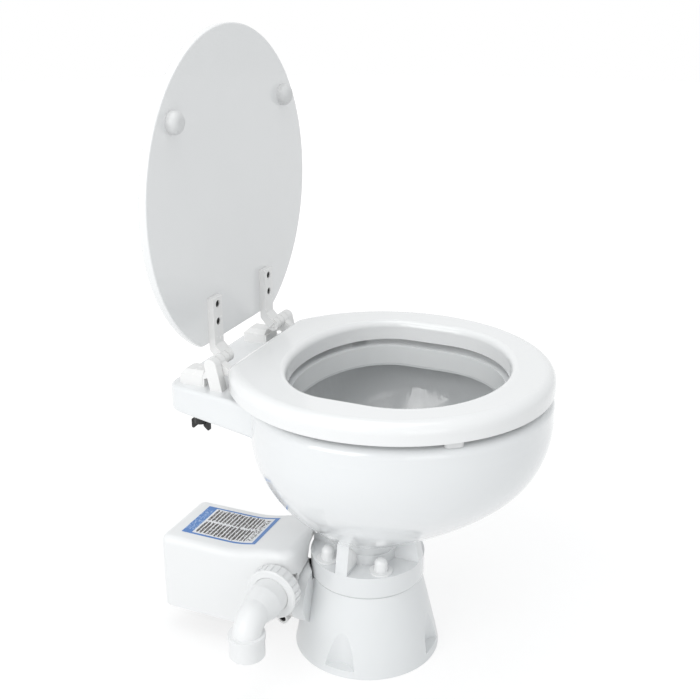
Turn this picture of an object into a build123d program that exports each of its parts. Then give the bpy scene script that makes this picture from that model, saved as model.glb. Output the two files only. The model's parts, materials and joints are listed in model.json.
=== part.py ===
"""Electric marine toilet: china bowl on a moulded pedestal, with a macerator drive under a hood.

Millimetres. +Z up, -Y is the front of the bowl, and the motor hood stands on the -X side at the rear.
The origin is on the floor at the centre of the pedestal.
"""

import os

from build123d import *

os.makedirs("parts", exist_ok=True)


def save(piece, name):
    """Label a finished piece and write it under its own name."""
    piece.part.label = name
    export_step(piece.part, f"parts/{name}.step")


# General fits
overrun = 6.0            # how far a cut runs past the face it opens
joint_gap = 0.35         # air between pieces that are fixed beside each other
screw_slack = 0.4        # a screw's radial room in a plain hole
moving_gap = 0.6         # air between pieces that move past each other
turning_gap = 0.08       # radial room of a running pin
side_walls = (-1, 1)

# Pedestal
base_height = 89.5
base_floor_radius = 82.5
base_rim_radius = 79.0
base_rim_height = 17.0
base_top_radius = 61.5
base_wall = 4.0
base_top_thickness = 8.0
base_rim_blend = 40.0
floor_screw_circle = 73.0
floor_screw_count = 4
floor_screw_hole_radius = 4.0
floor_ledge_height = 8.0
flute_offset = 15.5
flute_radius = 20.0
flute_top_radius = 17.2
flute_height = 42.0
sump_radius = 24.0
sump_wall = 4.0
sump_floor_height = 40.0
duct_radius = 14.0
duct_wall = 3.5
duct_height = 58.0

# Bowl foot and its fixings
gasket_thickness = 1.5
foot_radius = 64.0
foot_flange_thickness = 25.5
foot_height = 59.0
foot_neck_radius = 58.0
foot_straight_height = 29.0
foot_bottom = base_height + gasket_thickness
foot_flange_top = foot_bottom + foot_flange_thickness
foot_neck_height = foot_bottom + foot_height
foot_straight_top = foot_bottom + foot_straight_height
foot_ceiling_drop = 22.0
foot_rib_shift = 5.0
foot_edge_round = 2.5
foot_core_radius = 36.0
foot_rib_width = 14.0
bowl_bolt_x = 38.5
bowl_bolt_y = 31.5
bolt_radius = 4.0
bolt_head_height = 5.3
hex_across_flats = 13.0
washer_radius = 12.8
washer_thickness = 1.6
cap_nut_hex_height = 3.0
cap_nut_dome_radius = 7.2
cap_nut_height = 14.5
cap_nut_wall = 2.5

# Bowl
bowl_height = 320.0
rim_band_height = 20.0
bowl_shoulder_height = bowl_height - rim_band_height
bowl_half_width = 163.0
bowl_front = 196.0
bowl_rear = 120.0
bowl_widest_shift = 22.0
bowl_rim_round = 8.0
bowl_wall = 11.0
rim_roof = 12.0
rim_lip_depth = 24.0
rim_lip_width = 9.0
rim_margin = 3.5
outlet_length = 49.0
outlet_height = foot_bottom + outlet_length
basin_straight_depth = 30.0
basin_straight_height = bowl_height - basin_straight_depth
bowl_swell_shares = (0.29, 0.55, 0.765, 0.915, 0.985, 1)
bowl_front_shares = (0.35, 0.61, 0.81, 0.93, 0.988, 1)
widest_shift_shares = (0.15, 0.35, 0.6, 0.8, 0.95, 1)
basin_swell_shares = (0.28, 0.52, 0.72, 0.87, 0.96, 1)

# Deck behind the bowl
deck_rear = 193.0
deck_front = 80.0
deck_rear_half_width = 93.0
deck_front_half_width = 112.0
deck_corner_radius = 20.0
deck_rear_depth = 29.0
deck_front_depth = 36.0
deck_edge_round = 5.0
deck_top_round = 4.0
hinge_x = 70.0
hinge_bolt_y = 166.0
hinge_bolt_radius = 4.0
inlet_y = 150.0
inlet_bore_radius = 8.0
inlet_channel_depth = 22.0
inlet_channel_height = bowl_height - inlet_channel_depth

# Seat outline and ring
seat_rear = 125.0
seat_length = 320.5
seat_half_width = 165.0
seat_widest_back = 147.5
seat_rear_half = 80.0
seat_corner_radius = 20.0
seat_gap = 7.1
seat_bottom = bowl_height + seat_gap
seat_thickness = 21.6
seat_outer_round = 11.5
seat_inner_round = 7.0
seat_open_half_width = 117.0
seat_open_rear = 78.0
seat_open_front = 149.0
seat_open_y = -2.0
seat_open_straight = 46.0

# Hinge line, shared by the bowl's posts, the seat and the lid
hinge_y = 140.0
hinge_rise = 27.0
hinge_z = bowl_height + hinge_rise
knuckle_radius = 7.0
pin_radius = 3.0


def oval(half_width, front, rear, widest_y):
    """A ring of four quarter ellipses, widest at widest_y, with a longer front half."""
    back = rear - widest_y
    nose = front + widest_y
    for start, reach in ((0, back), (90, back), (180, nose), (270, nose)):
        EllipticalCenterArc((0, widest_y), half_width, reach, start, arc_size=90)


def seat_opening(margin):
    """The seat's hole grown all round by this much: two round ends joined by straight sides."""
    half_width = seat_open_half_width + margin
    back = seat_open_rear - seat_open_y + margin
    nose_y = seat_open_y - seat_open_straight
    nose = seat_open_front + nose_y + margin
    EllipticalCenterArc((0, seat_open_y), half_width, back, 0, arc_size=90)
    EllipticalCenterArc((0, seat_open_y), half_width, back, 90, arc_size=90)
    Line((-half_width, seat_open_y), (-half_width, nose_y))
    EllipticalCenterArc((0, nose_y), half_width, nose, 180, arc_size=90)
    EllipticalCenterArc((0, nose_y), half_width, nose, 270, arc_size=90)
    Line((half_width, nose_y), (half_width, seat_open_y))


def between(low, high, share):
    """The value a share of the way from low to high."""
    return low + (high - low) * share


# Pedestal: a hollow cone with a waste sump in the middle and a duct to the pump's flange
bowl_bolt_places = [(x * bowl_bolt_x, y * bowl_bolt_y) for x in side_walls for y in side_walls]
base_inner_top = base_height - base_top_thickness
pump_x = -34.5
pump_z = 68.0
pump_flange_y = 63.8
pump_flange_radius = 34.0
pump_pad_depth = 16.0
pump_pad_margin = 1.0
pump_spot_margin = 0.4
pump_bolt_count = 4
pump_screw_circle = 30.4
pump_screw_radius = 2.0
pump_screw_grip = 8.5
duct_direction = Vector(pump_x, pump_flange_y, 0)
duct_plane = Plane(origin=(0, 0, duct_height), x_dir=(0, 0, 1), z_dir=duct_direction)
flange_plane = Plane(origin=(pump_x, pump_flange_y, pump_z), x_dir=(1, 0, 0), z_dir=(0, 1, 0))
foot_clear_radius = foot_radius + foot_edge_round

with BuildPart() as cone:
    with BuildSketch(Plane.XZ):
        with BuildLine():
            FilletPolyline((base_floor_radius, 0), (base_rim_radius, base_rim_height),
                           (base_top_radius, base_height), radius=base_rim_blend)
            Polyline((base_top_radius, base_height), (0, base_height), (0, 0), (base_floor_radius, 0))
        make_face()
    revolve(axis=Axis.Z)

with BuildPart() as hollow:
    with BuildSketch(Plane.XZ):
        with BuildLine():
            Polyline((0, -overrun), (base_floor_radius - base_wall, -overrun),
                     (base_rim_radius - base_wall, base_rim_height),
                     (base_top_radius - base_wall, base_inner_top), (0, base_inner_top), (0, -overrun))
        make_face()
    revolve(axis=Axis.Z)

with BuildPart() as pump_pad:
    with BuildSketch(flange_plane):
        Circle(pump_flange_radius + pump_pad_margin)
    extrude(amount=-pump_pad_depth)
    with BuildSketch(Plane.XY.offset(base_height)):
        Circle(foot_clear_radius)
    extrude(amount=pump_flange_radius, mode=Mode.SUBTRACT)

with BuildPart() as duct_shape:
    with BuildSketch(duct_plane):
        Circle(duct_radius + duct_wall)
    extrude(amount=duct_direction.length * 2)
    split(bisect_by=Plane(flange_plane.origin, x_dir=(1, 0, 0), z_dir=(0, 1, 0)), keep=Keep.BOTTOM)

with BuildPart() as duct_bore:
    with BuildSketch(duct_plane):
        Circle(duct_radius)
    extrude(amount=duct_direction.length * 2)

# Each floor screw stands in a shallow flute of the cone, backed by a wall of its own
with BuildPart() as flute_backing:
    with PolarLocations(floor_screw_circle + flute_offset, floor_screw_count):
        Cone(flute_radius + base_wall, flute_top_radius + base_wall, flute_height + floor_ledge_height,
             align=(Align.CENTER, Align.CENTER, Align.MIN))
    add(cone.part, mode=Mode.INTERSECT)

with BuildPart() as base:
    add(cone.part)
    add(hollow.part, mode=Mode.SUBTRACT)
    add(flute_backing.part)
    for step in range(floor_screw_count):
        flute_place = Vector(floor_screw_circle + flute_offset, 0, floor_ledge_height)
        with Locations(flute_place.rotate(Axis.Z, step * 360 / floor_screw_count)):
            Cone(flute_radius, flute_top_radius, flute_height,
                 align=(Align.CENTER, Align.CENTER, Align.MIN), mode=Mode.SUBTRACT)
    with BuildSketch(Plane.XY.offset(sump_floor_height)):
        Circle(sump_radius + sump_wall)
    extrude(amount=base_height - sump_floor_height)
    add(duct_shape.part)
    add(pump_pad.part)
    with BuildSketch(Plane.XY.offset(base_height)):
        Circle(sump_radius)
    extrude(amount=-(base_height - sump_floor_height - sump_wall), mode=Mode.SUBTRACT)
    add(duct_bore.part, mode=Mode.SUBTRACT)
    with BuildSketch(flange_plane):
        Circle(pump_flange_radius + pump_spot_margin)
    extrude(amount=pump_flange_radius, mode=Mode.SUBTRACT)
    with BuildSketch(flange_plane):
        with PolarLocations(pump_screw_circle, pump_bolt_count):
            Circle(pump_screw_radius + turning_gap)
    extrude(amount=-pump_screw_grip, mode=Mode.SUBTRACT)
    with Locations(*bowl_bolt_places):
        Hole(bolt_radius + screw_slack)
    with PolarLocations(floor_screw_circle, floor_screw_count):
        Cylinder(floor_screw_hole_radius, floor_ledge_height + overrun, mode=Mode.SUBTRACT)
save(base, "base")

# Gasket between pedestal and foot
with BuildPart() as bowl_gasket:
    with BuildSketch(Plane.XY.offset(base_height)):
        Circle(base_top_radius)
        Circle(sump_radius, mode=Mode.SUBTRACT)
        with Locations(*bowl_bolt_places):
            Circle(bolt_radius + screw_slack, mode=Mode.SUBTRACT)
    extrude(amount=gasket_thickness)
save(bowl_gasket, "bowl_gasket")

# Bowl: the outer body, its foot and the deck are separate shapes that are then joined
swell_count = len(bowl_swell_shares)

with BuildPart() as body_shape:
    with BuildSketch(Plane.XY.offset(foot_neck_height)):
        with BuildLine():
            oval(foot_neck_radius, foot_neck_radius, foot_neck_radius, 0)
        make_face()
    for step, swell in enumerate(bowl_swell_shares):
        level = between(foot_neck_height, bowl_shoulder_height, (step + 1) / swell_count)
        widest_y = -bowl_widest_shift * widest_shift_shares[step]
        with BuildSketch(Plane.XY.offset(level)):
            with BuildLine():
                oval(between(foot_neck_radius, bowl_half_width, swell),
                     between(foot_neck_radius, bowl_front, bowl_front_shares[step]),
                     between(foot_neck_radius, bowl_rear, swell), widest_y)
            make_face()
    loft()

with BuildPart() as rim_band:
    with BuildSketch(Plane.XY.offset(bowl_shoulder_height)):
        with BuildLine():
            oval(bowl_half_width, bowl_front, bowl_rear, -bowl_widest_shift)
        make_face()
    extrude(amount=bowl_height - bowl_shoulder_height)
    fillet(rim_band.edges().group_by(Axis.Z)[-1], bowl_rim_round)

with BuildPart() as basin_shape:
    with BuildSketch(Plane.XY.offset(outlet_height)):
        with BuildLine():
            oval(sump_radius, sump_radius, sump_radius, 0)
        make_face()
    for step, swell in enumerate(basin_swell_shares):
        level = between(outlet_height, basin_straight_height, (step + 1) / swell_count)
        widest_y = -bowl_widest_shift * widest_shift_shares[step]
        with BuildSketch(Plane.XY.offset(level)):
            with BuildLine():
                oval(between(sump_radius, bowl_half_width - bowl_wall, swell),
                     between(sump_radius, bowl_front - bowl_wall, swell),
                     between(sump_radius, bowl_rear - bowl_wall, swell), widest_y)
            make_face()
    loft()

with BuildPart() as deck_shape:
    with BuildSketch(Plane.XY.offset(bowl_height)) as deck_plan:
        with BuildLine():
            Polyline((-deck_front_half_width, deck_front), (-deck_rear_half_width, deck_rear),
                     (deck_rear_half_width, deck_rear), (deck_front_half_width, deck_front), close=True)
        make_face()
        fillet(deck_plan.vertices().group_by(Axis.Y)[-1], deck_corner_radius)
    extrude(amount=-deck_front_depth)
    split(bisect_by=Plane(origin=(0, deck_rear, bowl_height - deck_rear_depth), x_dir=(1, 0, 0),
                          z_dir=(0, deck_rear_depth - deck_front_depth, deck_rear - deck_front)),
          keep=Keep.TOP)
    rear_edges = deck_shape.edges().filter_by(lambda edge: edge.center().Y > deck_front + overrun)
    fillet(rear_edges.filter_by(lambda edge: edge.center().Z < bowl_height - deck_edge_round
                                and abs(edge.tangent_at(0.5).Z) < 0.5), deck_edge_round)
    top_edges = deck_shape.edges().group_by(Axis.Z)[-1]
    fillet(top_edges.filter_by(lambda edge: edge.center().Y > deck_front + overrun), deck_top_round)

with BuildPart() as foot_shape:
    with BuildSketch(Plane.XZ):
        with BuildLine():
            Line((0, foot_bottom), (foot_radius - foot_edge_round, foot_bottom))
            JernArc((foot_radius - foot_edge_round, foot_bottom), (1, 0), foot_edge_round, 90)
            Polyline((foot_radius, foot_bottom + foot_edge_round), (foot_radius, foot_straight_top),
                     (foot_neck_radius, foot_neck_height), (0, foot_neck_height), (0, foot_bottom))
        make_face()
    revolve(axis=Axis.Z)

# The four nut pockets lie between the core and two crossed ribs
with BuildPart() as pocket_shape:
    with BuildSketch(Plane.XY.offset(foot_flange_top)):
        Rectangle(foot_radius * 2 + overrun, foot_radius * 2 + overrun)
        Circle(foot_core_radius, mode=Mode.SUBTRACT)
        Rectangle(foot_rib_width, foot_radius * 3, mode=Mode.SUBTRACT)
        with Locations((0, foot_rib_shift)):
            Rectangle(foot_radius * 3, foot_rib_width, mode=Mode.SUBTRACT)
    extrude(amount=foot_neck_height - foot_flange_top)
    with BuildSketch(Plane.XZ):
        with BuildLine():
            Polyline((0, foot_neck_height - foot_ceiling_drop),
                     (foot_core_radius, foot_neck_height - foot_ceiling_drop),
                     (foot_neck_radius, foot_neck_height), (0, foot_neck_height),
                     (0, foot_neck_height - foot_ceiling_drop))
        make_face()
    revolve(axis=Axis.Z, mode=Mode.SUBTRACT)

with BuildPart() as bowl:
    add(body_shape.part)
    add(rim_band.part)
    add(deck_shape.part)
    add(foot_shape.part)
    add(pocket_shape.part, mode=Mode.SUBTRACT)
    add(basin_shape.part, mode=Mode.SUBTRACT)
    with BuildSketch(Plane.XY.offset(basin_straight_height)):
        with BuildLine():
            oval(bowl_half_width - bowl_wall, bowl_front - bowl_wall, bowl_rear - bowl_wall,
                 -bowl_widest_shift)
        make_face()
    extrude(amount=bowl_height - rim_roof - basin_straight_height, mode=Mode.SUBTRACT)
    with BuildSketch(Plane.XY.offset(bowl_height - rim_lip_depth)):
        with BuildLine():
            seat_opening(rim_lip_width - rim_margin)
        make_face()
    extrude(amount=rim_lip_depth - rim_roof / 2)
    with BuildSketch(Plane.XY.offset(bowl_height - rim_lip_depth)):
        with BuildLine():
            seat_opening(-rim_margin)
        make_face()
    extrude(amount=rim_lip_depth, mode=Mode.SUBTRACT)
    with BuildSketch(Plane.XY.offset(foot_bottom)):
        Circle(sump_radius)
    extrude(amount=outlet_height - foot_bottom, mode=Mode.SUBTRACT)
    with BuildSketch(Plane.XY.offset(foot_bottom)):
        with Locations(*bowl_bolt_places):
            Circle(bolt_radius + screw_slack)
    extrude(amount=foot_flange_top - foot_bottom, mode=Mode.SUBTRACT)
    with BuildSketch(Plane.XY.offset(bowl_height)):
        with Locations((-hinge_x, hinge_bolt_y), (hinge_x, hinge_bolt_y)):
            Circle(hinge_bolt_radius + screw_slack)
    extrude(amount=-deck_front_depth, mode=Mode.SUBTRACT)
    with BuildSketch(Plane.XY.offset(inlet_channel_height)):
        with Locations((0, inlet_y)):
            Circle(inlet_bore_radius)
    extrude(amount=-deck_front_depth, mode=Mode.SUBTRACT)
    with BuildSketch(Plane(origin=(0, inlet_y, inlet_channel_height), x_dir=(1, 0, 0), z_dir=(0, -1, 0))):
        Circle(inlet_bore_radius)
    extrude(amount=inlet_y - bowl_rear + bowl_wall * 2, mode=Mode.SUBTRACT)
save(bowl, "bowl")

# Four bolts up through the pedestal top, each with a washer and a domed cap nut in its pocket
with BuildPart() as bowl_bolts:
    with BuildSketch(Plane.XY.offset(base_inner_top)):
        with Locations(*bowl_bolt_places):
            RegularPolygon(hex_across_flats / 2, 6, major_radius=False)
    extrude(amount=-bolt_head_height)
    with BuildSketch(Plane.XY.offset(base_inner_top)):
        with Locations(*bowl_bolt_places):
            Circle(bolt_radius)
    extrude(amount=foot_flange_top + washer_thickness + cap_nut_height - cap_nut_wall * 2 - base_inner_top)
save(bowl_bolts, "bowl_bolts")

with BuildPart() as bowl_washers:
    with BuildSketch(Plane.XY.offset(foot_flange_top)):
        with Locations(*bowl_bolt_places):
            Circle(washer_radius)
            Circle(bolt_radius + screw_slack, mode=Mode.SUBTRACT)
    extrude(amount=washer_thickness)
save(bowl_washers, "bowl_washers")

cap_nut_round_share = 0.9
nut_seat = foot_flange_top + washer_thickness
with BuildPart() as cap_nut:
    with BuildSketch(Plane.XY.offset(nut_seat)):
        RegularPolygon(hex_across_flats / 2, 6, major_radius=False)
    extrude(amount=cap_nut_hex_height)
    with BuildSketch(Plane.XY.offset(nut_seat)):
        Circle(cap_nut_dome_radius)
    extrude(amount=cap_nut_height)
    fillet(cap_nut.edges().group_by(Axis.Z)[-1], cap_nut_dome_radius * cap_nut_round_share)
    with BuildSketch(Plane.XY.offset(nut_seat)):
        Circle(bolt_radius + turning_gap)
    extrude(amount=cap_nut_height - cap_nut_wall * 2, mode=Mode.SUBTRACT)

with BuildPart() as bowl_cap_nuts:
    with Locations(*bowl_bolt_places):
        add(cap_nut.part)
save(bowl_cap_nuts, "bowl_cap_nuts")

# Rinse-water inlet: a hose tail that screws up into the deck over a rubber seal
inlet_tail_radius = 9.5
inlet_tail_length = 24.0
inlet_tail_wall = 2.5
inlet_flange_radius = 14.0
inlet_flange_thickness = 4.0
inlet_seal_thickness = 2.0
inlet_seal_recess = 1.0
inlet_shank_length = 9.0
deck_slope = (deck_front_depth - deck_rear_depth) / (deck_rear - deck_front)
inlet_deck_z = bowl_height - deck_rear_depth - (deck_rear - inlet_y) * deck_slope
inlet_seat_z = inlet_deck_z - inlet_flange_radius * deck_slope

with BuildPart() as inlet_seal:
    with BuildSketch(Plane.XY.offset(inlet_seat_z)):
        with Locations((0, inlet_y)):
            Circle(inlet_flange_radius - inlet_seal_recess)
            Circle(inlet_bore_radius, mode=Mode.SUBTRACT)
    extrude(amount=-inlet_seal_thickness)
save(inlet_seal, "inlet_seal")

spud_top = inlet_seat_z - inlet_seal_thickness
with BuildPart() as inlet_spud:
    with BuildSketch(Plane.XY.offset(spud_top)):
        with Locations((0, inlet_y)):
            Circle(inlet_flange_radius)
    extrude(amount=-inlet_flange_thickness)
    with BuildSketch(Plane.XY.offset(spud_top)):
        with Locations((0, inlet_y)):
            Circle(inlet_tail_radius)
    extrude(amount=-inlet_flange_thickness - inlet_tail_length)
    with BuildSketch(Plane.XY.offset(spud_top)):
        with Locations((0, inlet_y)):
            Circle(inlet_bore_radius - turning_gap)
    extrude(amount=inlet_shank_length)
    with BuildSketch(Plane.XY.offset(inlet_channel_height)):
        with Locations((0, inlet_y)):
            Circle(inlet_tail_radius - inlet_tail_wall - inlet_seal_recess)
    extrude(amount=-deck_front_depth * 2, mode=Mode.SUBTRACT)
save(inlet_spud, "inlet_spud")

# Seat and lid share one outline, drawn in plan with y measured from the rear edge
seat_rear_rebate = 5.8
seat_rebate_length = 12.0
seat_rebate_half = 97.0
bumper_length = 19.0
bumper_width = 9.0
bumper_front_y = -132.0
bumper_front_x = 116.0
bumper_front_turn = 55.0
bumper_rear_y = 62.0
bumper_rear_x = 122.0
bumper_rear_turn = 105.0
tenon_bottom = 6.0
tenon_top = 13.0
tenon_depth = 34.0
tenon_in = 68.6
tenon_out = 78.0
seat_edge_gap = hinge_y - seat_rear
arm_screw_radius = 1.6
arm_screw_length = 14.0
arm_screw_shares = (0.4, 0.78)


def arm_screw_places(side):
    """Two screws along each tenon."""
    middle = side * (tenon_in + tenon_out) / 2
    return [(middle, seat_rear - tenon_depth * share) for share in arm_screw_shares]


def seat_outline(length, widest_back):
    """The common plan of seat and lid: straight rear, long side arcs and a half-ellipse nose."""
    rear_left = (-seat_rear_half, seat_rear)
    rear_right = (seat_rear_half, seat_rear)
    widest_y = seat_rear - widest_back
    widest_left = (-seat_half_width, widest_y)
    widest_right = (seat_half_width, widest_y)
    nose = length - widest_back
    Line(rear_left, rear_right)
    TangentArc(widest_right, rear_right, tangent=(0, 1))
    EllipticalCenterArc((0, widest_y), seat_half_width, nose, 180, arc_size=90)
    EllipticalCenterArc((0, widest_y), seat_half_width, nose, 270, arc_size=90)
    TangentArc(widest_left, rear_left, tangent=(0, 1))


with BuildPart() as seat_ring:
    with BuildSketch(Plane.XY.offset(seat_bottom)) as seat_plan:
        with BuildLine():
            seat_outline(seat_length, seat_widest_back)
        make_face()
        fillet(seat_plan.vertices().group_by(Axis.Y)[-1], seat_corner_radius)
    extrude(amount=seat_thickness)
    fillet(seat_ring.edges().group_by(Axis.Z)[-1], seat_outer_round)
    with BuildSketch(Plane.XY.offset(seat_bottom)):
        with BuildLine():
            seat_opening(0)
        make_face()
    extrude(amount=seat_thickness, mode=Mode.SUBTRACT)
    fillet(seat_ring.faces().sort_by(Axis.Z)[-1].inner_wires()[0].edges(), seat_inner_round)
    with BuildSketch(Plane.XY.offset(seat_bottom)):
        with Locations((0, seat_rear)):
            Rectangle(seat_rebate_half * 2, seat_rebate_length * 2)
    extrude(amount=seat_rear_rebate, mode=Mode.SUBTRACT)
    for side in side_walls:
        with BuildSketch(Plane(origin=(0, seat_rear, hinge_z), x_dir=(1, 0, 0), z_dir=(0, -1, 0))):
            with Locations((side * (tenon_in + tenon_out) / 2, -(tenon_bottom + tenon_top) / 2)):
                Rectangle(tenon_out - tenon_in, tenon_top - tenon_bottom)
        extrude(amount=tenon_depth, mode=Mode.SUBTRACT)
        with BuildSketch(Plane.XY.offset(seat_bottom)):
            with Locations(*arm_screw_places(side)):
                Circle(arm_screw_radius)
        extrude(amount=arm_screw_length + joint_gap, mode=Mode.SUBTRACT)
save(seat_ring, "seat_ring")

# Four moulded bumpers under the seat, bedded in shallow seats of their own height
bumper_places = [(-bumper_front_x, bumper_front_y, -bumper_front_turn),
                 (bumper_front_x, bumper_front_y, bumper_front_turn),
                 (-bumper_rear_x, bumper_rear_y, bumper_rear_turn),
                 (bumper_rear_x, bumper_rear_y, -bumper_rear_turn)]
bumper_foot_gap = 0.1
with BuildPart() as seat_bumpers:
    with BuildSketch(Plane.XY.offset(bowl_height + bumper_foot_gap)):
        for x, y, turn in bumper_places:
            with Locations(Location((x, y, 0), (0, 0, turn))):
                SlotOverall(bumper_length, bumper_width)
    extrude(amount=seat_bottom - bowl_height - bumper_foot_gap)
save(seat_bumpers, "seat_bumpers")

# Hinges. Everything that turns about the pin is drawn in a side plane through the hinge line
seat_knuckle_in = 68.6
seat_knuckle_out = 78.0
post_knuckle_out = 89.4
post_knuckle_in = 78.6
lid_knuckle_in = 50.9
lid_knuckle_out = 68.0
groove_depth = 0.6
groove_width = 1.2
groove_x = 59.0
block_in = 56.4
block_front = 151.4
block_rear = 180.5
block_height = 15.7
block_wall = 2.0
block_chamfer = 5.0
post_base_height = 9.0
pillar_foot_front = 127.0
pillar_foot_rear = 141.0


def side_plane(x):
    """The plane at x seen from the right: sketch x runs rearward and sketch y runs up."""
    return Plane(origin=(x, hinge_y, hinge_z), x_dir=(0, 1, 0), z_dir=(1, 0, 0))


def mirrored(side, near, far):
    """The lower bound and the length of a span between two distances from the centre plane."""
    low = min(side * near, side * far)
    return low, far - near


def make_seat_arm(side):
    """The seat's hinge arm: a knuckle on the pin and a tenon let into the seat's rear edge."""
    low, length = mirrored(side, seat_knuckle_in, seat_knuckle_out)
    fit = joint_gap / 2
    with BuildPart() as arm:
        with BuildSketch(side_plane(low)):
            Circle(knuckle_radius)
            with BuildLine():
                Polyline((0, -tenon_top + fit), (-seat_edge_gap - tenon_depth + joint_gap, -tenon_top + fit),
                         (-seat_edge_gap - tenon_depth + joint_gap, -tenon_bottom - fit),
                         (-seat_edge_gap + joint_gap, -tenon_bottom - fit), (-knuckle_radius, 0), (0, 0),
                         close=True)
            make_face()
            Circle(pin_radius + turning_gap, mode=Mode.SUBTRACT)
        extrude(amount=length)
        with BuildSketch(Plane.XY.offset(hinge_z)):
            with Locations(*arm_screw_places(side)):
                Circle(arm_screw_radius)
        extrude(amount=-tenon_top * 2, mode=Mode.SUBTRACT)
    return arm


for side, side_name in zip(side_walls, ("left", "right")):
    seat_arm = make_seat_arm(side)
    save(seat_arm, f"seat_arm_{side_name}")

with BuildPart() as seat_arm_screws:
    for side in side_walls:
        with BuildSketch(Plane.XY.offset(seat_bottom)):
            with Locations(*arm_screw_places(side)):
                Circle(arm_screw_radius - turning_gap)
        extrude(amount=arm_screw_length)
save(seat_arm_screws, "seat_arm_screws")

# Lid, drawn standing open: its underside faces forward and its rear edge is the lower one
lid_underside = 13.4
lid_edge_gap = 15.0
lid_thickness = 11.5
lid_length = 318.0
lid_widest_back = 148.0
lid_back_round = 6.0
lid_front_round = 1.5
lid_bumper_x = 113.5
lid_bumper_height = 250.0
lid_bumper_radius = 11.5
lid_bumper_depth = 11.3
lid_bumper_round_share = 0.72
lid_arm_in = 48.0
lid_arm_out = 66.0
lid_arm_thickness = 7.0
lid_arm_top = 64.5
lid_arm_bend = 14.0
lid_arm_heel = 8.0
lid_arm_round = 1.2
pin_inner_end = 50.9
lid_screw_heights = (38.0, 57.0)
lid_screw_x = 57.0
lid_screw_radius = 2.0
lid_screw_head_radius = 3.6
lid_screw_recess_radius = 3.9
lid_screw_recess = 3.4
lid_screw_head_height = 2.2
lid_screw_grip = 7.0
lid_screw_cross = 1.0
lid_face_y = hinge_y + lid_underside
lid_bottom_z = hinge_z + lid_edge_gap
lid_plane = Plane(origin=(0, lid_face_y, lid_bottom_z + seat_rear), x_dir=(1, 0, 0), z_dir=(0, 1, 0))
lid_screw_places = [(side * lid_screw_x, hinge_z + height) for side in side_walls
                    for height in lid_screw_heights]


def facing_front(y):
    """A plane that faces the front at this y, with sketch x to the right and sketch y up."""
    return Plane(origin=(0, y, 0), x_dir=(1, 0, 0), z_dir=(0, -1, 0))


with BuildPart() as lid:
    with BuildSketch(lid_plane) as lid_plan:
        with BuildLine():
            seat_outline(lid_length, lid_widest_back)
        make_face()
        fillet(lid_plan.vertices().group_by(Axis.Y)[-1], seat_corner_radius)
    extrude(amount=lid_thickness)
    fillet(lid.edges().group_by(Axis.Y)[-1], lid_back_round)
    fillet(lid.edges().group_by(Axis.Y)[0], lid_front_round)
    with BuildSketch(facing_front(lid_face_y)):
        with Locations(*lid_screw_places):
            Circle(lid_screw_radius + turning_gap)
    extrude(amount=-lid_screw_grip - joint_gap, mode=Mode.SUBTRACT)
save(lid, "lid")

with BuildPart() as lid_bumpers:
    with BuildSketch(facing_front(lid_face_y)):
        with Locations((-lid_bumper_x, hinge_z + lid_bumper_height),
                       (lid_bumper_x, hinge_z + lid_bumper_height)):
            Circle(lid_bumper_radius)
    extrude(amount=lid_bumper_depth)
    fillet(lid_bumpers.edges().group_by(Axis.Y)[0], lid_bumper_depth * lid_bumper_round_share)
save(lid_bumpers, "lid_bumpers")


def make_lid_arm(side):
    """The lid's hinge arm: a knuckle on the pin, a cranked neck and a screwed strap."""
    low, length = mirrored(side, lid_knuckle_in, lid_knuckle_out)
    strap_low, strap_width = mirrored(side, lid_arm_in, lid_arm_out)
    strap_front = lid_underside - lid_arm_thickness
    with BuildPart() as strap:
        with BuildSketch(side_plane(strap_low)):
            with BuildLine():
                Polyline((lid_underside, lid_arm_top), (strap_front, lid_arm_top),
                         (strap_front, lid_arm_bend),
                         (-knuckle_radius / 2, knuckle_radius / 2), (knuckle_radius / 2, -knuckle_radius / 2),
                         (lid_underside, lid_arm_heel), close=True)
            make_face()
        extrude(amount=strap_width)
        fillet(strap.edges().filter_by(Axis.X).group_by(Axis.Z)[-1], lid_arm_round)
    with BuildPart() as arm:
        with BuildSketch(side_plane(low)):
            Circle(knuckle_radius)
        extrude(amount=length)
        add(strap.part)
        groove_start, groove_span = mirrored(side, groove_x, groove_x + groove_width)
        with BuildSketch(side_plane(groove_start)):
            Rectangle(knuckle_radius * 4, knuckle_radius * 2)
            Circle(knuckle_radius - groove_depth, mode=Mode.SUBTRACT)
            with Locations((lid_underside, lid_underside)):
                Rectangle(lid_underside * 2, lid_underside * 3, mode=Mode.SUBTRACT)
        extrude(amount=groove_span, mode=Mode.SUBTRACT)
        bore_low, bore_length = mirrored(side, pin_inner_end - turning_gap, lid_knuckle_out)
        with BuildSketch(side_plane(bore_low)):
            Circle(pin_radius + turning_gap)
        extrude(amount=bore_length, mode=Mode.SUBTRACT)
        with BuildSketch(facing_front(lid_face_y - lid_arm_thickness)):
            with Locations(*[place for place in lid_screw_places if place[0] * side > 0]):
                Circle(lid_screw_recess_radius)
        extrude(amount=-lid_screw_recess, mode=Mode.SUBTRACT)
        with BuildSketch(facing_front(lid_face_y - lid_arm_thickness)):
            with Locations(*[place for place in lid_screw_places if place[0] * side > 0]):
                Circle(lid_screw_radius + turning_gap)
        extrude(amount=-lid_arm_thickness, mode=Mode.SUBTRACT)
    return arm


for side, side_name in zip(side_walls, ("left", "right")):
    lid_arm = make_lid_arm(side)
    save(lid_arm, f"lid_arm_{side_name}")

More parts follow.
